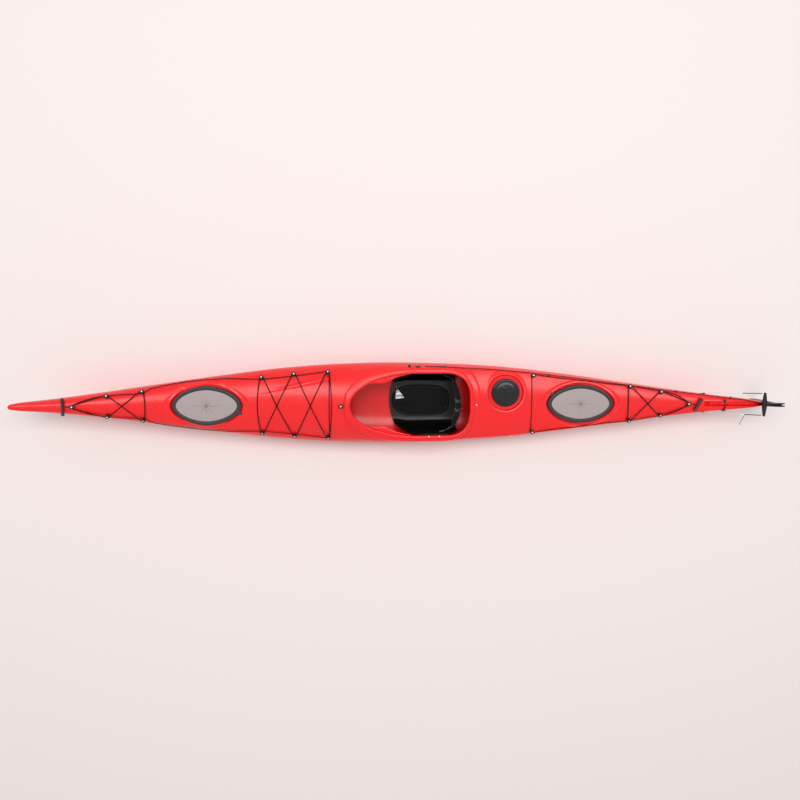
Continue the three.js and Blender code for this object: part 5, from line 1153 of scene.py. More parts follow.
def mould_coaming():
    """The coaming: a wall and lip profile carried round the cockpit, from its inner to its outer outline.
    With it go the two thigh braces, and the collars that the covers of the oval hatches grip."""
    turns = np.linspace(0, 2, 1601)
    inner = keyhole_line(0, 0, 0, (2, 3), turns)
    outer = keyhole_line(*LIP_REACH, LIP_POWERS, turns)
    middle = (inner + outer) / 2
    arc = arc_of(middle)
    at = np.linspace(0, arc[-1], 131)
    a, b = (read_at(line, arc, at) for line in (inner, outer))
    a, b = (np.concatenate([line, line[-2:0:-1] * [1, -1]]) for line in (a, b))
    reach = np.linalg.norm(b - a, axis=1)[:, None]
    way = (b - a) / reach
    root = a + way * COAMING_WALL
    foot = deck_z(root[:, 0], root[:, 1])[:, None] - COAMING_ROOT
    top = rim_height(a[:, 0])[:, None]
    one, k = np.ones_like(top), LIP_THICK
    profile = [
        (0 * one, foot), (0 * one, top - 2 * k), (0.35 * k * one, top - 0.9 * k),
        (1.6 * k * one, top - 0.15 * k),
        (reach / 3, top + 0.1 * k), (reach * 0.7, top - 0.75 * k), (reach - 0.9 * k, top - LIP_DROP * 0.42),
        (reach, top - LIP_DROP * 0.7), (reach + 0.4, top - LIP_DROP), (reach - k, top - LIP_DROP),
        (reach - 1.2 * k, top - LIP_DROP * 0.72), (reach - 2.2 * k, top - LIP_DROP * 0.5 - 0.6 * k),
        (reach * 0.62, top - 1.9 * k), ((COAMING_WALL + k) * one, top - 1.5 * k),
        ((COAMING_WALL + 0.2 * k) * one, top - 2.6 * k),
        (COAMING_WALL * one, top - 4 * k), (COAMING_WALL * one, foot)]
    d = np.concatenate([row[0] for row in profile], 1)
    z = np.concatenate([row[1] for row in profile], 1)
    grid = np.concatenate([a[:, None] + way[:, None] * d[..., None], z[..., None]], 2)
    part = outward(surface(eased(grid, axis=1), loop_rows=True))
    parts = [part]
    for side in SIDES.values():
        t = np.linspace(0, 1, 49)
        x = COCKPIT_START + COCKPIT_LENGTH * mix(*BRACE_SPAN, t)
        front = ((FRONT_MIDDLE - x) / COCKPIT_FRONT).clip(0)
        out = COCKPIT_HALF * np.sqrt(1 - front ** 2) + COAMING_WALL / 2
        inside = out - COAMING_WALL - BRACE_REACH * curve(BRACE, t)
        high = np.maximum(rim_height(x) - BRACE_DROP, deck_z(x, out) - COAMING_ROOT + BRACE_THICK)
        low = high - BRACE_THICK
        corners = np.moveaxis(np.array([[x, side * out, low], [x, side * (inside + 3), low - 4],
                                        [x, side * inside, low - 4], [x, side * inside, high - 2],
                                        [x, side * (inside + 3), high], [x, side * out, high]]), 2, 0)
        parts.append(outward(surface(eased(corners, axis=1, times=1))))
    # Collars of the oval hatches: an upright wall with a rounded top round each opening
    for name, x in HATCH_X.items():
        floor = HATCH_FLOOR[name]
        top = floor + COLLAR_HEIGHT
        rows = [(0, floor - 2.5), (0, top - 2), (0.6, top - 0.6), (2, top), (COLLAR_WALL - 2, top),
                (COLLAR_WALL - 0.6, top - 0.6), (COLLAR_WALL, top - 2), (COLLAR_WALL, floor - 2.5)]
        parts.append(outward(surface(stacked_ovals(x, COLLAR, rows), loop_rows=True)))
    piece("cockpit_coaming", parts, "rotomoulded_polyethylene", slot="hull_red", replaces=("hull_shell",))


def stacked_ovals(x, size, rows, steps=192):
    """Rings of a pointed oval, one for each row (inset, z):
    P = (x + (a - inset) c^(2/p), (b - inset) s^(2/p), z)."""
    a = np.linspace(0, 2 * np.pi, steps, endpoint=False)
    c, s = squared(a, OVAL_POWER)
    inset, z = np.array(rows, float).T[:, :, None]
    return np.stack([x + (size[0] - inset) * c, (size[1] - inset) * s, z + 0 * c], -1)


# Hatches


def fit_oval_hatches():
    """An oval hatch: a rubber cover with a rounded rim and a lifting tab, and a stiff panel with a star."""
    star = bpy.context.scene.kayak_sizes.star_height / MM
    for name, x in HATCH_X.items():
        floor = HATCH_FLOOR[name]
        top = floor + COLLAR_HEIGHT + TOUCH + RUBBER
        foot = floor + TOUCH
        a = np.linspace(0.12, np.pi - 0.45, 11)
        bead = np.stack([13 - 12.6 * np.cos(a), top + RIM_RISE * np.sin(a) ** 0.8], 1)
        rows = [(SKIRT, top - RUBBER), (SKIRT, foot), (1, foot), (0, foot + 1), (0, foot + 4),
                (1.4, foot + 6), (1.6, foot + 9), (0.4, foot + 12), (0, top - 3), *bead.tolist(),
                (24.8, top + 1.2), (25.7, top + 0.6), (25.7, top)]
        cover = outward(surface(stacked_ovals(x, [h + RIM_WIDE for h in PANEL], rows)))
        tab_x, tab_y = {"bow": (225.0, -54.0), "stern": (-204.0, 74.0)}[name]
        tip = unit(np.array([tab_x / (PANEL[0] ** 2), tab_y / (PANEL[1] ** 2)]))
        t = np.linspace(0, 1, 13)
        path = np.array([x + tab_x, tab_y, top]) + np.stack(
            [tip[0] * mix(-26, 5, t), tip[1] * mix(-26, 5, t), 3.4 + 1.4 * np.sin(np.pi * t) - 4 * t ** 3], 1)
        wide = (11 * (1 - np.clip((t - 0.55) / 0.45, 0, 1) ** 2.6 * 0.75))[:, None]
        shape = np.stack(np.broadcast_arrays(wide * [-1, -0.92, 0.92, 1, 0.92, -0.92],
                                             1.5 * np.array([0, 1, 1, 0, -1, -1.0])), -1)
        piece(f"{name}_hatch_rubber", [cover, sweep(path, shape)], "moulded_hatch_rubber",
              body=f"{name}_hatch", replaces=(f"{name}_hatch_cover",), slot="rubber_black")
        base = top + TOUCH
        inset = np.array([3.2, 5, 8, 14, 22, 32, 44, 58, 74, 90])
        dome = base + 4 + 3 * (1 - (1 - inset / 104) ** 2)
        rows = [(1.3, base), (0.3, base + 0.6), (0.3, base + 2.6), (1, base + 3.6), (2, base + 4),
                *np.stack([inset, dome], 1).tolist()]
        panel = outward(surface(stacked_ovals(x, PANEL, rows)))
        # The star: notches between its eight arms, two long arms along the hull, two across it, four between
        ray = np.arange(16)
        a = ray * np.pi / 8
        reach = np.select([ray % 2 == 1, ray % 8 == 0, ray % 4 == 0], [6.5, 140.0, 60.0], 66.0)
        plan = np.stack([x + reach * np.cos(a), reach * np.sin(a)], 1)
        along, across = (plan[:, 0] - x) / PANEL[0], plan[:, 1] / PANEL[1]
        below = (np.abs(along) ** OVAL_POWER + np.abs(across) ** OVAL_POWER) ** (1 / OVAL_POWER)
        skin = base + 4 + 3 * (1 - below ** 2) + 0.15
        rings = [np.column_stack([plan, skin - 2]), np.column_stack([plan, skin])]
        rings.append(np.column_stack([mix(np.array([x, 0.0]), plan, 0.02), np.full(16, base + 7 + star)]))
        piece(f"{name}_hatch_star_panel", [panel, outward(surface(np.array(rings)))], "textured_abs_panel",
              body=f"{name}_hatch", replaces=(f"{name}_hatch_panel",), slot="panel_grey", sharp=18)


def fit_day_hatch():
    """The round day hatch: its frame, its seal, and the domed lid with a curved grip that screws in."""
    centre = np.array([DAY_X, DAY_Y, DAY_FLOOR + TOUCH])
    outer, wall, flange = DAY_OPENING - TOUCH, 5.0, 4.0
    bore = outer - wall
    ring = [(bore, -24), (outer, -24), (outer, -0.2), (outer + 1, 0), (outer + 13, 0), (outer + 14, 0.8),
            (outer + 14, flange - 1), (outer + 12.8, flange), (bore + 1, flange), (bore, flange - 1)]
    a = np.linspace(0, 2 * np.pi, 96, endpoint=False)

    def hoop(rows):
        """A closed profile (r, z) turned about the hatch's axis."""
        r, z = np.array(rows, float).T[:, :, None]
        rings = np.stack([r * np.cos(a), r * np.sin(a), z + 0 * a], -1) + centre
        return outward(surface(rings, loop_rows=True))

    circle = outer + 7.4
    screws = [turned_to(screw_head(3.6, 1.6), centre + [circle * np.cos(t), circle * np.sin(t), flange - 0.3],
                        UP) for t in np.arange(8) * np.pi / 4 + 0.2]
    piece("day_hatch_ring", hoop(ring), "polished_abs", replaces=("day_hatch_frame",), slot="gloss_black")
    piece("day_hatch_screws", screws, "brushed_stainless", slot="steel")
    seal = [(outer, 4.3), (outer + 0.8, 4.3), (outer + 4, 4.8), (outer + 4, 6.2), (outer + 2.6, 6.8),
            (outer, 6.8)]
    piece("day_hatch_gasket", hoop(seal), "moulded_hatch_rubber", body="day_hatch_seal",
          replaces=("day_hatch_seal",), slot="rubber_black")
    plug, foot = bore * np.cos(np.pi / 24) - 0.6, 7.1
    r = np.array([86, 80, 72, 66, 56, 44, 30, 16, 4.0])
    dome = foot + 12 + 7 * (1 - (r / DAY_LID) ** 2)
    sunk_ring = 2.2 * np.exp(-((r - 72) / 6) ** 2)
    rows = [(4, -15), (plug - 1, -15), (plug, -14), (plug, 2), (plug, foot), (DAY_LID - 1.5, foot),
            (DAY_LID, foot + 1.5), (DAY_LID, foot + 7), (DAY_LID - 1, foot + 10), (DAY_LID - 4, foot + 11.8),
            *np.stack([r, dome - sunk_ring], 1).tolist()]
    lid = turned_to(lathe(rows, 128), centre, UP)
    t = np.linspace(-1, 1, 65)
    # The grip is an S along the lid, across = -16 sin(pi t), 14.4 mm wide and drawn in at its ends
    along, across = 70 * t, -16 * np.sin(np.pi * t)
    top = foot + 19 - 5.5 * np.abs(t) ** 3
    path = np.stack([along, across, top - 4 + 9 * np.exp(-(t / 0.8) ** 6)], 1)
    wide = (7.2 - 2.4 * np.abs(t) ** 3) * np.sqrt(np.maximum(1 - np.abs(t) ** 12, 0.05))
    shape = np.stack(np.broadcast_arrays(wide[:, None] * [-1, -1, -0.8, 0, 0.8, 1, 1, 0.0],
                                         np.array([-6, -1.5, 0.3, 1, 0.3, -1.5, -6, -6.0])), -1)
    grip = turned_to(sweep(path, shape), centre, UP, -np.pi / 4)
    parts = [lid, grip]
    for way in (0, np.pi):
        # A raised crescent beside the grip: an arc of radius 54 mm that swells to 9 mm across
        turn = np.linspace(-1, 1, 33)
        angle = way - np.pi / 4 + np.pi / 2 + 0.75 * turn
        line = np.stack([54 * np.cos(angle), 54 * np.sin(angle), np.full(33, foot + 12 + 5.0)], 1)
        half = (4.5 * np.sqrt(np.maximum(1 - turn ** 2, 0.02)))[:, None]
        cross = np.stack([half * [-1, -0.6, 0, 0.6, 1, 0], half * 0 + [-3, -0.2, 0.6, -0.2, -3, -3.0]], -1)
        parts.append(turned_to(sweep(line, cross), centre, UP))
    piece("day_hatch_screw_lid", parts, "polished_abs", body="day_hatch_lid", replaces=("day_hatch_lid",),
          slot="gloss_black", sharp=45)


# Fittings


def screw_head(radius, height):
    """A domed head, z = h cos(pi r / 2.2 R), with a round socket sunk in its middle."""
    r = radius * np.sin(np.linspace(np.pi / 2, 0.5, 7))
    rows = [(radius * 0.9, -1.0), *np.stack([r, height * np.cos(np.pi * r / (2.2 * radius))], 1).tolist()]
    rows += [(radius * 0.46, height * 0.85), (radius * 0.42, height * 0.1), (0.2, height * 0.1)]
    return lathe(rows, 18)


def fit_deck_fittings():
    """Deck fittings: a foot, a waisted neck for two cords and a dished cap with a steel screw."""
    rows = [(12.6, 0), (13.6, 0.4), (14, 1.2), (13.8, 2.3), (12.8, 3), (9.5, 3.4), (7.2, 4.6), (6.2, 6.8),
            (6, 10), (6, 13.5), (6.3, 16.6), (7.4, 18.4), (9.6, 19.2), (12.8, 19.3), (13.8, 20), (14, 21),
            (13.6, 22.2), (12, 23.4), (9, 24.1), (6.4, 24.3), (5.8, 24), (5.6, 23), (0.4, 23)]
    bollard, screw = lathe(rows, 36), screw_head(6.0, 2.4)
    screws = []
    for key, (foot, normal) in held_fittings().items():
        piece(f"deck_fitting_{key}", turned_to(bollard, foot, normal), "polished_abs",
              replaces=(f"fitting_{key}",), slot="gloss_black", sharp=50)
        screws.append(turned_to(screw, foot + normal * 23.2, normal))
    piece("fitting_screws", screws, "brushed_stainless", slot="steel")


def fit_small_parts():
    """The up-haul's cleat, fairleads, saddle and stud, two hooks near the stern, and their screws and those
    of the deck and coaming."""
    foot, normal = on_deck(0.535, 0.9)
    t = np.linspace(-1, 1, 41)
    horn = np.stack([23 * t, 0 * t, 12.6 + 2.0 * t ** 2], 1)
    size = (4.6 - 1.6 * np.abs(t) ** 2) * np.sqrt(np.maximum(1 - np.abs(t) ** 14, 0.05))
    a = np.linspace(0, 2 * np.pi, 16, endpoint=False)
    shape = size[:, None, None] * np.stack([1.15 * np.cos(a), 0.72 * np.sin(a)], 1)
    stem = oblong(-10.4, 10.4, 6)
    parts = [slab(stem, 0, 3, 1), slab(stem * [0.62, 0.62], 2, 13, 1.2), sweep(horn, shape)]
    piece("uphaul_horn_cleat", [turned_to(p, foot, normal) for p in parts], "filled_nylon",
          replaces=("uphaul_cleat",), slot="nylon_black")
    leads, screws = [], []
    for share, across in ((.712, .9115), (.8865, .888), (.9602, .825)):
        foot, normal = on_deck(share, across, span=8)
        arch = np.linspace(0, np.pi, 17)
        bow = np.stack([0 * arch, 5.6 * np.cos(arch), 1.5 + 6 * np.sin(arch)], 1)
        ring = sweep(bow, 2.1 * np.stack([np.cos(a), np.sin(a)], 1), up=np.array([1.0, 0, 0]))
        leads += [turned_to(p, foot, normal) for p in (ring, slab(oblong(-6, 6, 13), 0, 2.6, 0.8))]
        screws += [turned_to(screw_head(3.2, 1.5), foot + normal * 2.6 + np.array([0, y, 0]), normal)
                   for y in (-9, 9)]
    # A saddle that the line runs through: outer arch 9 x 10, inner arch 4.5 x 6.5, carried 43 mm aft
    arch = np.linspace(0, np.pi, 13)[:, None]
    profile = np.concatenate([np.hstack([9 * np.cos(arch), 10 * np.sin(arch)]),
                              np.hstack([4.5 * np.cos(arch), 6.5 * np.sin(arch)])[::-1]])
    ends = [on_deck(share, 0.925, TOUCH, 6)[0] for share in (.5642, .5728)]
    leads.append(sweep(mix(*ends, np.linspace(0, 1, 5)[:, None]), profile))
    foot, normal = on_deck(0.5238, 0.93)
    stud = [(9, 0), (10, 0.8), (10, 2.4), (5.5, 3.5), (5, 9), (9, 10.5), (10, 12), (9, 13.6), (4.6, 14),
            (0.4, 13.6)]
    leads.append(turned_to(lathe(stud, 32), foot, normal))
    screws.append(turned_to(screw_head(4.6, 2), foot + normal * 13.4, normal))
    for across in (-0.88, 0.52):
        foot, normal = on_deck(0.9515, across, span=9)
        leads.append(turned_to(slab(oblong(-14, 14, 7), 0, 8, 2.2), foot, normal))
        screws.append(turned_to(screw_head(3.4, 1.6), foot + normal * 7.8 + np.array([7.0, 0, 0]), normal))
    piece("deck_fairleads", leads, "filled_nylon", slot="nylon_black")
    foot, normal = deck_point(539.7, -2.0)
    screws.append(turned_to(screw_head(5.0, 2.4), foot, normal))
    for x, y in ((219.4, -215.0), (290.0, -214.0)):
        screws.append(turned_to(screw_head(5.0, 2.4), np.array([x, y, float(rim_height(x)) - 1.2]), UP))
    piece("small_screws", screws, "brushed_stainless", slot="steel")


# Rudder


def fit_rudder():
    """The rudder: bracket and pin on the stern, a head with a tapered yoke, and the blade with its bolt."""
    low, high = BRACKET
    face, half, lug = STERN_X + TOUCH, HEAD_WIDTH / 2, 26
    wide = oblong(face, STERN_X + 22, half)
    parts = [slab(wide, low, low + lug, 1.5), slab(wide, high - lug, high, 1.5),
             slab(oblong(face, STERN_X + 6, half, 1), low + 10, high - 10, 1)]
    piece("rudder_gudgeon", parts, "polished_abs", replaces=("rudder_bracket",), slot="gloss_black")
    yoke_top = YOKE_FLOOR + YOKE_THICK
    pin = lathe([(3, low), (4, low + 1), (4, yoke_top - 1.2), (3.2, yoke_top - TOUCH)], 24)
    piece("rudder_pintle", turned_to(pin, np.array([PIN_X, 0, 0]), UP), "brushed_stainless",
          replaces=("rudder_pin",), slot="steel")
    edge = [[YOKE_ROOT, half], [12, 40], [YOKE_TIP, YOKE_SPAN - 4], [3, YOKE_SPAN]]
    arm = np.array(edge + [[-x, y] for x, y in edge[::-1]], float)
    outline = np.concatenate([arm, -arm])
    yoke = slab(eased(outline, 0, 2) + [PIN_X, 0], YOKE_FLOOR, yoke_top, 2.2)
    hub = lathe([(11, 0), (13, 1.5), (13, YOKE_THICK - 0.5), (11.5, YOKE_THICK + 0.8),
                 (4.6, YOKE_THICK + 0.8), (4.3, YOKE_THICK), (4.3, 0.2)], 36)
    hub = turned_to(hub, np.array([PIN_X, 0, YOKE_FLOOR + 0.2]), UP)
    end, top = PIN_X + HEAD_LENGTH - 10, YOKE_FLOOR + HEAD_HEIGHT
    side = np.array([[PIN_X + 6, YOKE_FLOOR], [end - 4, YOKE_FLOOR], [end, YOKE_FLOOR + 5], [end, top - 12],
                     [end - 9, top], [end - 62, top], [PIN_X + 18, YOKE_FLOOR + 16],
                     [PIN_X + 6, YOKE_FLOOR + 14]])
    side = eased(side, 0, 2)
    cheeks = [plate(side, *span, 1.4) for span in ((5.1, 12), (-12, -5.1))]
    web = slab(oblong(PIN_X + 2, PIN_X + 80, 11, 1), YOKE_FLOOR, yoke_top, 1)
    piece("rudder_yoke_head", [yoke, hub, *cheeks, web], "polished_abs", body="rudder_head",
          replaces=("rudder_head",), slot="gloss_black")

    # Blade: chord and middle by rows down the foil, and a section whose nose is round and whose tail is thin
    v = np.linspace(0, 1, 49)[:, None]
    chord = curve([[0, .3], [.05, .78], [.12, .96], [.2, 1], [.5, .95], [.86, .82], [.95, .7], [.99, .46],
                   [1, .3]], v)
    a = np.linspace(0, 2 * np.pi, 48, endpoint=False)
    nose = np.cos(a)
    half = BLADE_HALF * np.abs(np.sin(a)) ** 0.9 * np.sign(np.sin(a)) * mix(1.0, 0.55, smooth(0.5 + nose / 2))
    grid = np.stack([-BLADE_AHEAD + BLADE_REACH * chord * nose, half * np.minimum(chord * 1.3, 1),
                     -mix(BLADE_TOP, BLADE_TIP, v) + 0 * a], -1)
    foil = outward(surface(grid))
    turn = np.linspace(0, np.pi, 13)
    neck = np.concatenate([12 * np.stack([np.cos(turn), np.sin(turn)], 1),
                           [[-12, -60], [-13, -142], [13, -142], [12, -60]]])
    stem = plate(neck, -BLADE_HALF, BLADE_HALF, 1.0)
    blade = [{**p, "points": p["points"] + PIVOT} for p in (foil, stem)]
    piece("rudder_foil_blade", blade, "hard_anodised_blade", body="rudder_blade", replaces=("rudder_blade",),
          slot="aluminium")
    head = [(7.2, 0), (8, 0.7), (8, 2.4), (7.0, 3.4), (3, 3.7), (0.4, 3.7)]
    shank = lathe([(3.9, -12.4), (3.9, 12.4)], 20)
    bolts = [turned_to(shank, PIVOT, (0, 1, 0))]
    bolts += [turned_to(lathe(head, 6), PIVOT + np.array([0, way * 12.3, 0]), (0, way, 0)) for way in (-1, 1)]
    piece("blade_hex_bolt", bolts, "brushed_stainless", body="rudder_head", replaces=("blade_bolt",),
          slot="steel")


# Seat


def cushion_grid(point_at, rings=22, steps=96, power=PAD_POWER):
    """A cushion as a closed disc: rings share = sin(pi i / 2n) of a squared circle, over the top and back
    under; point_at(u, v, side) places a point, with side = +-cos^(1/2) falling to 0 at the edge."""
    i = np.arange(1, rings + 1)
    share, side = np.sin(np.pi / 2 * i / rings), np.cos(np.pi / 2 * i / rings).clip(0) ** 0.5
    share = np.concatenate([share, share[-2::-1]])[:, None]
    side = np.concatenate([-side, side[-2::-1]])[:, None]
    a = np.linspace(0, 2 * np.pi, steps, endpoint=False)
    c, s = squared(a, power)
    return outward(surface(point_at(share * c, share * s, side + 0 * a)))


def puffed(name, part, carve, voxel, pressure, **where):
    """A pad filled by simulation: remeshed, blown up from inside for some frames of cloth, held to the
    furthest swelling, then sewn: carve(points) presses the channels in."""
    made = piece(name, part, "knitted_pad_cover", ride=False, **where)
    scene, frames = bpy.context.scene, 20
    most = scene.kayak_sizes.puff_most
    remesh = made.modifiers.new("voxels", "REMESH")
    remesh.mode, remesh.voxel_size = "VOXEL", voxel * MM
    settle(made)
    start = coordinates(made.data)
    cloth = made.modifiers.new("filling", "CLOTH")
    cloth.settings.use_pressure = True
    cloth.settings.uniform_pressure_force = pressure
    cloth.settings.effector_weights.gravity = 0
    cloth.settings.mass = 0.3
    cloth.point_cache.frame_start, cloth.point_cache.frame_end = 1, frames
    for number in range(1, frames + 1):
        scene.frame_set(number)
    settle(made)
    scene.frame_set(1)
    shift = coordinates(made.data) - start
    far = np.linalg.norm(shift, axis=1, keepdims=True)
    put(made.data, start + shift * np.minimum(1, most / np.maximum(far, 1e-9)))
    rounds = made.modifiers.new("rounds", "SUBSURF")
    rounds.levels = rounds.render_levels = 1
    settle(made)
    put(made.data, carve(coordinates(made.data) / MM) * MM)
    made.data.polygons.foreach_set("use_smooth", np.ones(len(made.data.polygons), bool))
    return made


def settle(made):
    """Applies an object's modifiers: its mesh becomes the evaluated one."""
    evaluated = made.evaluated_get(bpy.context.evaluated_depsgraph_get())
    mesh = bpy.data.meshes.new_from_object(evaluated)
    old = made.data
    made.modifiers.clear()
    made.data = mesh
    name = old.name
    bpy.data.meshes.remove(old)
    mesh.name = name
    if not mesh.materials:
        mesh.materials.append(bpy.data.materials["knitted_pad_cover"])


def coordinates(mesh):
    """A mesh's points as an array."""
    flat = np.empty(len(mesh.vertices) * 3, np.float32)
    mesh.vertices.foreach_get("co", flat)
    return flat.reshape(-1, 3).astype(float)


def put(mesh, points):
    """Moves a mesh's points to an array's rows."""
    mesh.vertices.foreach_set("co", points.astype(np.float32).ravel())
    mesh.update()


def fit_seat_pan():
    """The seat pan: a trough whose section is an eased line (y, z), with its cheeks drawn up towards the
    coaming, and the foot that it stands on."""
    t = np.linspace(0, 1, 61)
    half = SEAT_HALF * curve(SEAT_WIDTH, t)
    cheek = curve(CHEEK, t)
    top = rim_height(SEAT_START + SEAT_LENGTH * t) * cheek - BRACE_DROP
    lift = top - PAN_FLOOR
    reach = mix(half, COCKPIT_HALF - 1.2, np.minimum(cheek * 1.02, 1))
    y = np.stack([0 * half, half * 0.55, half * 0.9, half * 1.02, mix(half, reach, 0.6),
                  mix(half, reach, 0.93), reach, reach], 1)
    z = np.stack([*(PAN_FLOOR + lift * share for share in (0, 0, 0.01, 0.06, 0.27, 0.6)), top - 6, top], 1)
    line = np.concatenate([np.stack([-y[:, :0:-1], z[:, :0:-1]], -1), np.stack([y, z], -1)], 1)
    line = eased(line, axis=1, times=2, closed=False)
    way = unit(np.gradient(line, axis=1))
    inner = line + 5.5 * np.stack([-way[..., 1], way[..., 0]], -1)
    ring = np.concatenate([line, inner[:, ::-1]], 1)
    x = SEAT_START + (SEAT_LENGTH + 26) * t[:, None]
    x = x + (1 - t[:, None]) * 60 * (np.abs(ring[..., 0]) / COCKPIT_HALF) ** 2
    grid = np.concatenate([x[..., None], ring], 2)
    foot = slab(oblong(SEAT_START + 87, SEAT_START + 349, 32), WALL + TOUCH, PAN_FLOOR + 3, 2)
    piece("moulded_seat_pan", [outward(surface(grid)), foot], "blow_moulded_seat", replaces=("seat_pan",),
          slot="gloss_black")


def sew_pads():
    """The seat pad and the backband: filled covers with sewn channels, straps and buckles."""
    sizes = bpy.context.scene.kayak_sizes
    pitch, deep = sizes.channel_pitch / MM, sizes.channel_depth / MM
    length, width = SEAT_LENGTH / 2 - 10, SEAT_HALF * 0.86 - 6 - 10
    middle, base = SEAT_START + SEAT_LENGTH / 2, PAN_FLOOR + 6.3 + 13

    def seat(u, v, side):
        """The seat pad: a crowned plate with a pommel ahead, raised sides and a curved front edge."""
        rise = 20 * np.exp(-((v * 4) ** 2)) * smooth((0.2 - u) * 1.2) + 14 * v * v
        half = 11 * np.abs(side)
        z = np.where(side > 0, base + half + rise * np.abs(side), base - half)
        x = middle + length * u + 30 * v ** 2 * (u < 0) * np.abs(u)
        return np.stack([x, width * v, z], -1)

    def sewn_seat(p):
        """z -= depth (1 - |sin(pi x / pitch)|)^3 over the top, and along a piped line inside its edge."""
        top = smooth((p[:, 2] - base) / 8)
        inside = 1 - smooth((np.abs(p[:, 1]) - 84) / 8)
        ribs = (1 - np.abs(np.sin(np.pi * (p[:, 0] - SEAT_START) / pitch))) ** 3
        p[:, 2] -= deep * top * ribs * inside
        seam = np.exp(-((np.abs(p[:, 1]) - 90) / 3) ** 2)
        p[:, 2] -= deep * 0.9 * top * seam
        return p

    voxel, pressure = 5.0, 4.0
    pad = puffed("sewn_seat_pad", cushion_grid(seat), sewn_seat, voxel, pressure, replaces=("seat_pad",),
                 slot="pad_black")
    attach(pad, "hull")

    points = coordinates(pad.data) / MM

    def over_pad(plan, lift, near=12.0):
        """Height over the pad: its highest point within a radius of each place, and a lift."""
        gap = np.linalg.norm(points[None, :, :2] - plan[:, None], axis=2)
        z = np.where(gap < near, points[None, :, 2], -np.inf).max(1)
        return np.column_stack([plan, np.where(np.isfinite(z), z, base) + lift])

    a = np.linspace(0, 2 * np.pi, 120, endpoint=False)
    c, s = squared(a, PAD_POWER)
    rim = over_pad(seat(0.9 * c, 0.86 * s, 0.4 + 0 * a)[:, :2], 0.4)
    for _ in range(6):
        rim[:, 2] = (np.roll(rim[:, 2], 1) + rim[:, 2] + np.roll(rim[:, 2], -1)) / 3
    piece("seat_pad_piping", tube(rim, 4.5, closed=True), "polished_abs", slot="gloss_black")
    # Painted highlight: a pale metal plate laid on the pad's front stands in for a glossy grey triangle of
    # light on the seat
    u, v = np.meshgrid(np.linspace(0, 1, 13), np.linspace(0, 1, 13), indexing="ij")
    corner = np.array([[10.0, 98.0], [66.0, 22.0], [6.0, 14.0]])
    u, v = u[..., None], v[..., None]
    plan = mix(mix(corner[0], corner[1], v), mix(corner[0], corner[2], v), u)
    top = over_pad(plan.reshape(-1, 2), 1.6, 14.0).reshape(13, 13, 3)
    skirt = top - UP * 3.2
    plate_top = surface(top, loop_columns=False, caps=False)
    edge = np.concatenate([top[:, 0], top[-1, 1:], top[-2::-1, -1], top[0, -2:0:-1]])
    side_wall = surface(np.stack([edge, edge - UP * 3.2]), caps=False)
    below = surface(skirt[:, ::-1], loop_columns=False, caps=False)
    piece("seat_highlight_plate", [plate_top, side_wall, below], "anodised_aluminium", slot="aluminium")

    def band(u, v, side):
        """The backband: an upright plate, curved by x = middle - 46 u^2, thinner above and below."""
        x = BAND_X + 13 * (1.15 + side * (1 - 0.35 * v * v)) - 46 * u * u
        return np.stack([x, (BAND_HALF - 3) * u, BAND_FOOT + 3 + (BAND_HEIGHT / 2 - 3) * (1 + v)], -1)

    def sewn_band(p):
        """The faces drawn in along two upright seams and a line under the top edge."""
        u = p[:, 1] / BAND_HALF
        core = BAND_X + 15 - 46 * u * u
        seam = np.exp(-((np.abs(p[:, 1]) - 62) / 4) ** 2) + np.exp(-((np.abs(p[:, 1]) - 122) / 4) ** 2)
        seam = seam + np.exp(-((p[:, 2] - BAND_FOOT - BAND_HEIGHT + 26) / 4) ** 2)
        p[:, 0] -= np.sign(p[:, 0] - core) * np.minimum(deep * 1.1 * seam, np.abs(p[:, 0] - core) * 0.5)
        return p

    back = puffed("sewn_backband", cushion_grid(band), sewn_band, voxel, pressure,
                  replaces=("seat_backband",), slot="pad_black")
    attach(back, "backband")

    # Two webbing loops over the band's top edge, each with a ladder buckle
    loops, buckles = [], []
    flat = np.array([[-10, -1.1], [10, -1.1], [10, 1.1], [-10, 1.1]])
    for y in (21.0, -40.0):
        core = BAND_X + 15 - 46 * (y / BAND_HALF) ** 2
        top = BAND_FOOT + BAND_HEIGHT
        over = np.array([[core - 20, y, top - 70], [core - 20, y, top - 6], [core - 13, y, top + 4],
                         [core + 13, y, top + 4], [core + 20, y, top - 6], [core + 20, y, top - 90]])
        over = eased(over, 0, 3, closed=False)
        loops.append(sweep(over, flat[:, ::-1], up=np.array([0, 1.0, 0])))
        ladder = slab(oblong(-13, 13, 13), -1.5, 3, 1)
        buckles.append(turned_to(ladder, np.array([core + 4, y, top + 5.5]), UP))
    piece("backband_loops", loops, "woven_webbing", body="backband", slot="webbing_grey")
    piece("backband_ladder_buckles", buckles, "polished_abs", body="backband", slot="gloss_black")

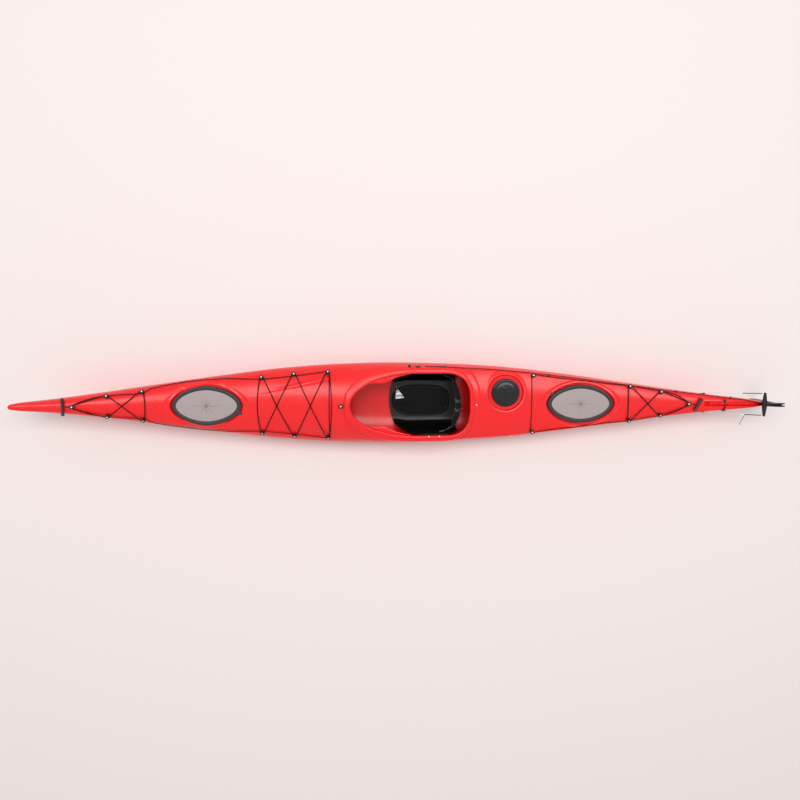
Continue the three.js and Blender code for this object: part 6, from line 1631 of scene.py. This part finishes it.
    height = BAND_FOOT + BAND_HEIGHT / 2
    for name, side in SIDES.items():
        x = BAND_X - 46 + 15
        low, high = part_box(f"backband_strap_{name}")
        outer = max(abs(low.y), abs(high.y)) / MM - 1.5
        path = np.array([[x + 4, side * (BAND_HALF - 6), height], [x - 8, side * (BAND_HALF + 1), height],
                         [x - 32, side * mix(BAND_HALF, outer, 0.6), height],
                         [x - 62, side * (outer - 1), height], [x - 80, side * outer, height]])
        path = eased(path, 0, 3, closed=False)
        flat = np.array([[-1.3, -12.5], [-1.3, 12.5], [-0.9, 12.9], [0.9, 12.9], [1.3, 12.5], [1.3, -12.5],
                         [0.9, -12.9], [-0.9, -12.9]])
        strap = piece(f"backband_webbing_{name}", sweep(path, flat), "woven_webbing", ride=False,
                      replaces=(f"backband_strap_{name}",), slot="webbing_grey")
        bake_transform(strap)
        buckle = slab(oblong(-10, 10, 15.5), -1.7, 2.4, 0.9)
        spot, way = path[len(path) // 2], unit(path[len(path) // 2 + 1] - path[len(path) // 2 - 1])
        outwards = unit(np.cross(way, UP)) * -side
        ladder = turned_to(buckle, spot + outwards * 1.2, outwards)
        held = piece(f"backband_buckle_{name}", ladder, "filled_nylon", ride=False, slot="nylon_black")
        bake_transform(held)


def finish_frame_parts():
    """Finishes for the frame's own solids that are shown as they are: bulkheads, foot rails and pedals."""
    names = {f"{place}_bulkhead": "cut_closed_cell_foam" for place in ("bow", "mid", "stern")}
    for side in SIDES:
        names[f"foot_rail_{side}"] = "anodised_aluminium"
        names[f"foot_pedal_{side}"] = "filled_nylon"
    for name, material in names.items():
        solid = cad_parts[name]
        for slot in solid.material_slots:
            slot.material = bpy.data.materials[material]
        if not solid.material_slots:
            raise RuntimeError(f"{name} has no material slot")


class KAYAK_OT_finishes(bpy.types.Operator):
    """Makes every finish of the kayak"""

    bl_idname = "kayak.finishes"
    bl_label = "Finishes"

    def execute(self, context):
        build_finishes()
        return {"FINISHED"}


class KAYAK_OT_stage(bpy.types.Operator):
    """Sets the floor, the light and the camera"""

    bl_idname = "kayak.stage"
    bl_label = "Stage"

    def execute(self, context):
        set_stage()
        return {"FINISHED"}


class KAYAK_OT_deck_cords(bpy.types.Operator):
    """Lays the cords of both decks"""

    bl_idname = "kayak.deck_cords"
    bl_label = "Deck Lines and Bungees"

    def execute(self, context):
        lay_deck_cords()
        return {"FINISHED"}


class KAYAK_OT_rudder_lines(bpy.types.Operator):
    """Runs the rudder's cables, up-haul and keeper"""

    bl_idname = "kayak.rudder_lines"
    bl_label = "Rudder Lines"

    def execute(self, context):
        lay_rudder_lines()
        return {"FINISHED"}


class KAYAK_OT_toggles(bpy.types.Operator):
    """Hangs the toggles at bow and stern"""

    bl_idname = "kayak.toggles"
    bl_label = "Carrying Toggles"

    def execute(self, context):
        hang_toggles()
        return {"FINISHED"}


class KAYAK_OT_hull(bpy.types.Operator):
    """Moulds the hull's two skins with its openings"""

    bl_idname = "kayak.hull"
    bl_label = "Hull and Deck"

    def execute(self, context):
        mould_hull()
        return {"FINISHED"}


class KAYAK_OT_coaming(bpy.types.Operator):
    """Moulds the cockpit's rim, thigh braces and hatch collars"""

    bl_idname = "kayak.coaming"
    bl_label = "Coaming and Collars"

    def execute(self, context):
        mould_coaming()
        return {"FINISHED"}


class KAYAK_OT_oval_hatches(bpy.types.Operator):
    """Fits the rubber covers and their star panels"""

    bl_idname = "kayak.oval_hatches"
    bl_label = "Oval Hatches"

    def execute(self, context):
        fit_oval_hatches()
        return {"FINISHED"}


class KAYAK_OT_day_hatch(bpy.types.Operator):
    """Fits the round screw hatch behind the cockpit"""

    bl_idname = "kayak.day_hatch"
    bl_label = "Day Hatch"

    def execute(self, context):
        fit_day_hatch()
        return {"FINISHED"}


class KAYAK_OT_deck_fittings(bpy.types.Operator):
    """Screws the cord fittings to the deck"""

    bl_idname = "kayak.deck_fittings"
    bl_label = "Deck Fittings"

    def execute(self, context):
        fit_deck_fittings()
        return {"FINISHED"}


class KAYAK_OT_small_parts(bpy.types.Operator):
    """Fits the small parts of the deck"""

    bl_idname = "kayak.small_parts"
    bl_label = "Cleat, Fairleads and Screws"

    def execute(self, context):
        fit_small_parts()
        return {"FINISHED"}


class KAYAK_OT_rudder(bpy.types.Operator):
    """Fits the bracket, head, blade and bolt"""

    bl_idname = "kayak.rudder"
    bl_label = "Rudder"

    def execute(self, context):
        fit_rudder()
        return {"FINISHED"}


class KAYAK_OT_seat_pan(bpy.types.Operator):
    """Moulds the seat"""

    bl_idname = "kayak.seat_pan"
    bl_label = "Seat Pan"

    def execute(self, context):
        fit_seat_pan()
        return {"FINISHED"}


class KAYAK_OT_pads(bpy.types.Operator):
    """Fills and sews the seat pad and the backband"""

    bl_idname = "kayak.pads"
    bl_label = "Pads and Straps"

    def execute(self, context):
        sew_pads()
        return {"FINISHED"}


class KAYAK_OT_frame_parts(bpy.types.Operator):
    """Finishes the frame's own solids"""

    bl_idname = "kayak.frame_parts"
    bl_label = "Bulkheads and Foot Braces"

    def execute(self, context):
        finish_frame_parts()
        return {"FINISHED"}


# In the order in which they run
OPERATORS = [
    KAYAK_OT_finishes, KAYAK_OT_stage, KAYAK_OT_deck_cords, KAYAK_OT_rudder_lines, KAYAK_OT_toggles,
    KAYAK_OT_hull, KAYAK_OT_coaming, KAYAK_OT_oval_hatches, KAYAK_OT_day_hatch, KAYAK_OT_deck_fittings,
    KAYAK_OT_small_parts, KAYAK_OT_rudder, KAYAK_OT_seat_pan, KAYAK_OT_pads, KAYAK_OT_frame_parts]


class KAYAK_PT_builder(bpy.types.Panel):
    """Lists the kayak's sizes, colours and pieces"""

    bl_idname = "KAYAK_PT_builder"
    bl_label = "Sea Kayak"
    bl_space_type = "VIEW_3D"
    bl_region_type = "UI"
    bl_category = "Kayak"

    def draw(self, context):
        column = self.layout.column()
        for group in (context.scene.kayak_sizes, context.scene.kayak_colours):
            for key in group.__class__.__annotations__:
                column.prop(group, key)
        for each in OPERATORS:
            column.operator(each.bl_idname)


CLASSES = [KayakSizes, KayakColours, *OPERATORS, KAYAK_PT_builder]


def register():
    """Registers the classes and gives the scene its sizes and colours."""
    for each in CLASSES:
        bpy.utils.register_class(each)
    bpy.types.Scene.kayak_sizes = PointerProperty(type=KayakSizes)
    bpy.types.Scene.kayak_colours = PointerProperty(type=KayakColours)


def unregister():
    """Takes the sizes, the colours and the classes away again."""
    del bpy.types.Scene.kayak_sizes, bpy.types.Scene.kayak_colours
    for each in reversed(CLASSES):
        bpy.utils.unregister_class(each)


def main():
    """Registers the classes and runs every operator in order."""
    register()
    for each in OPERATORS:
        getattr(bpy.ops.kayak, each.bl_idname.split(".")[1])()


if __name__ == "__main__":
    main()
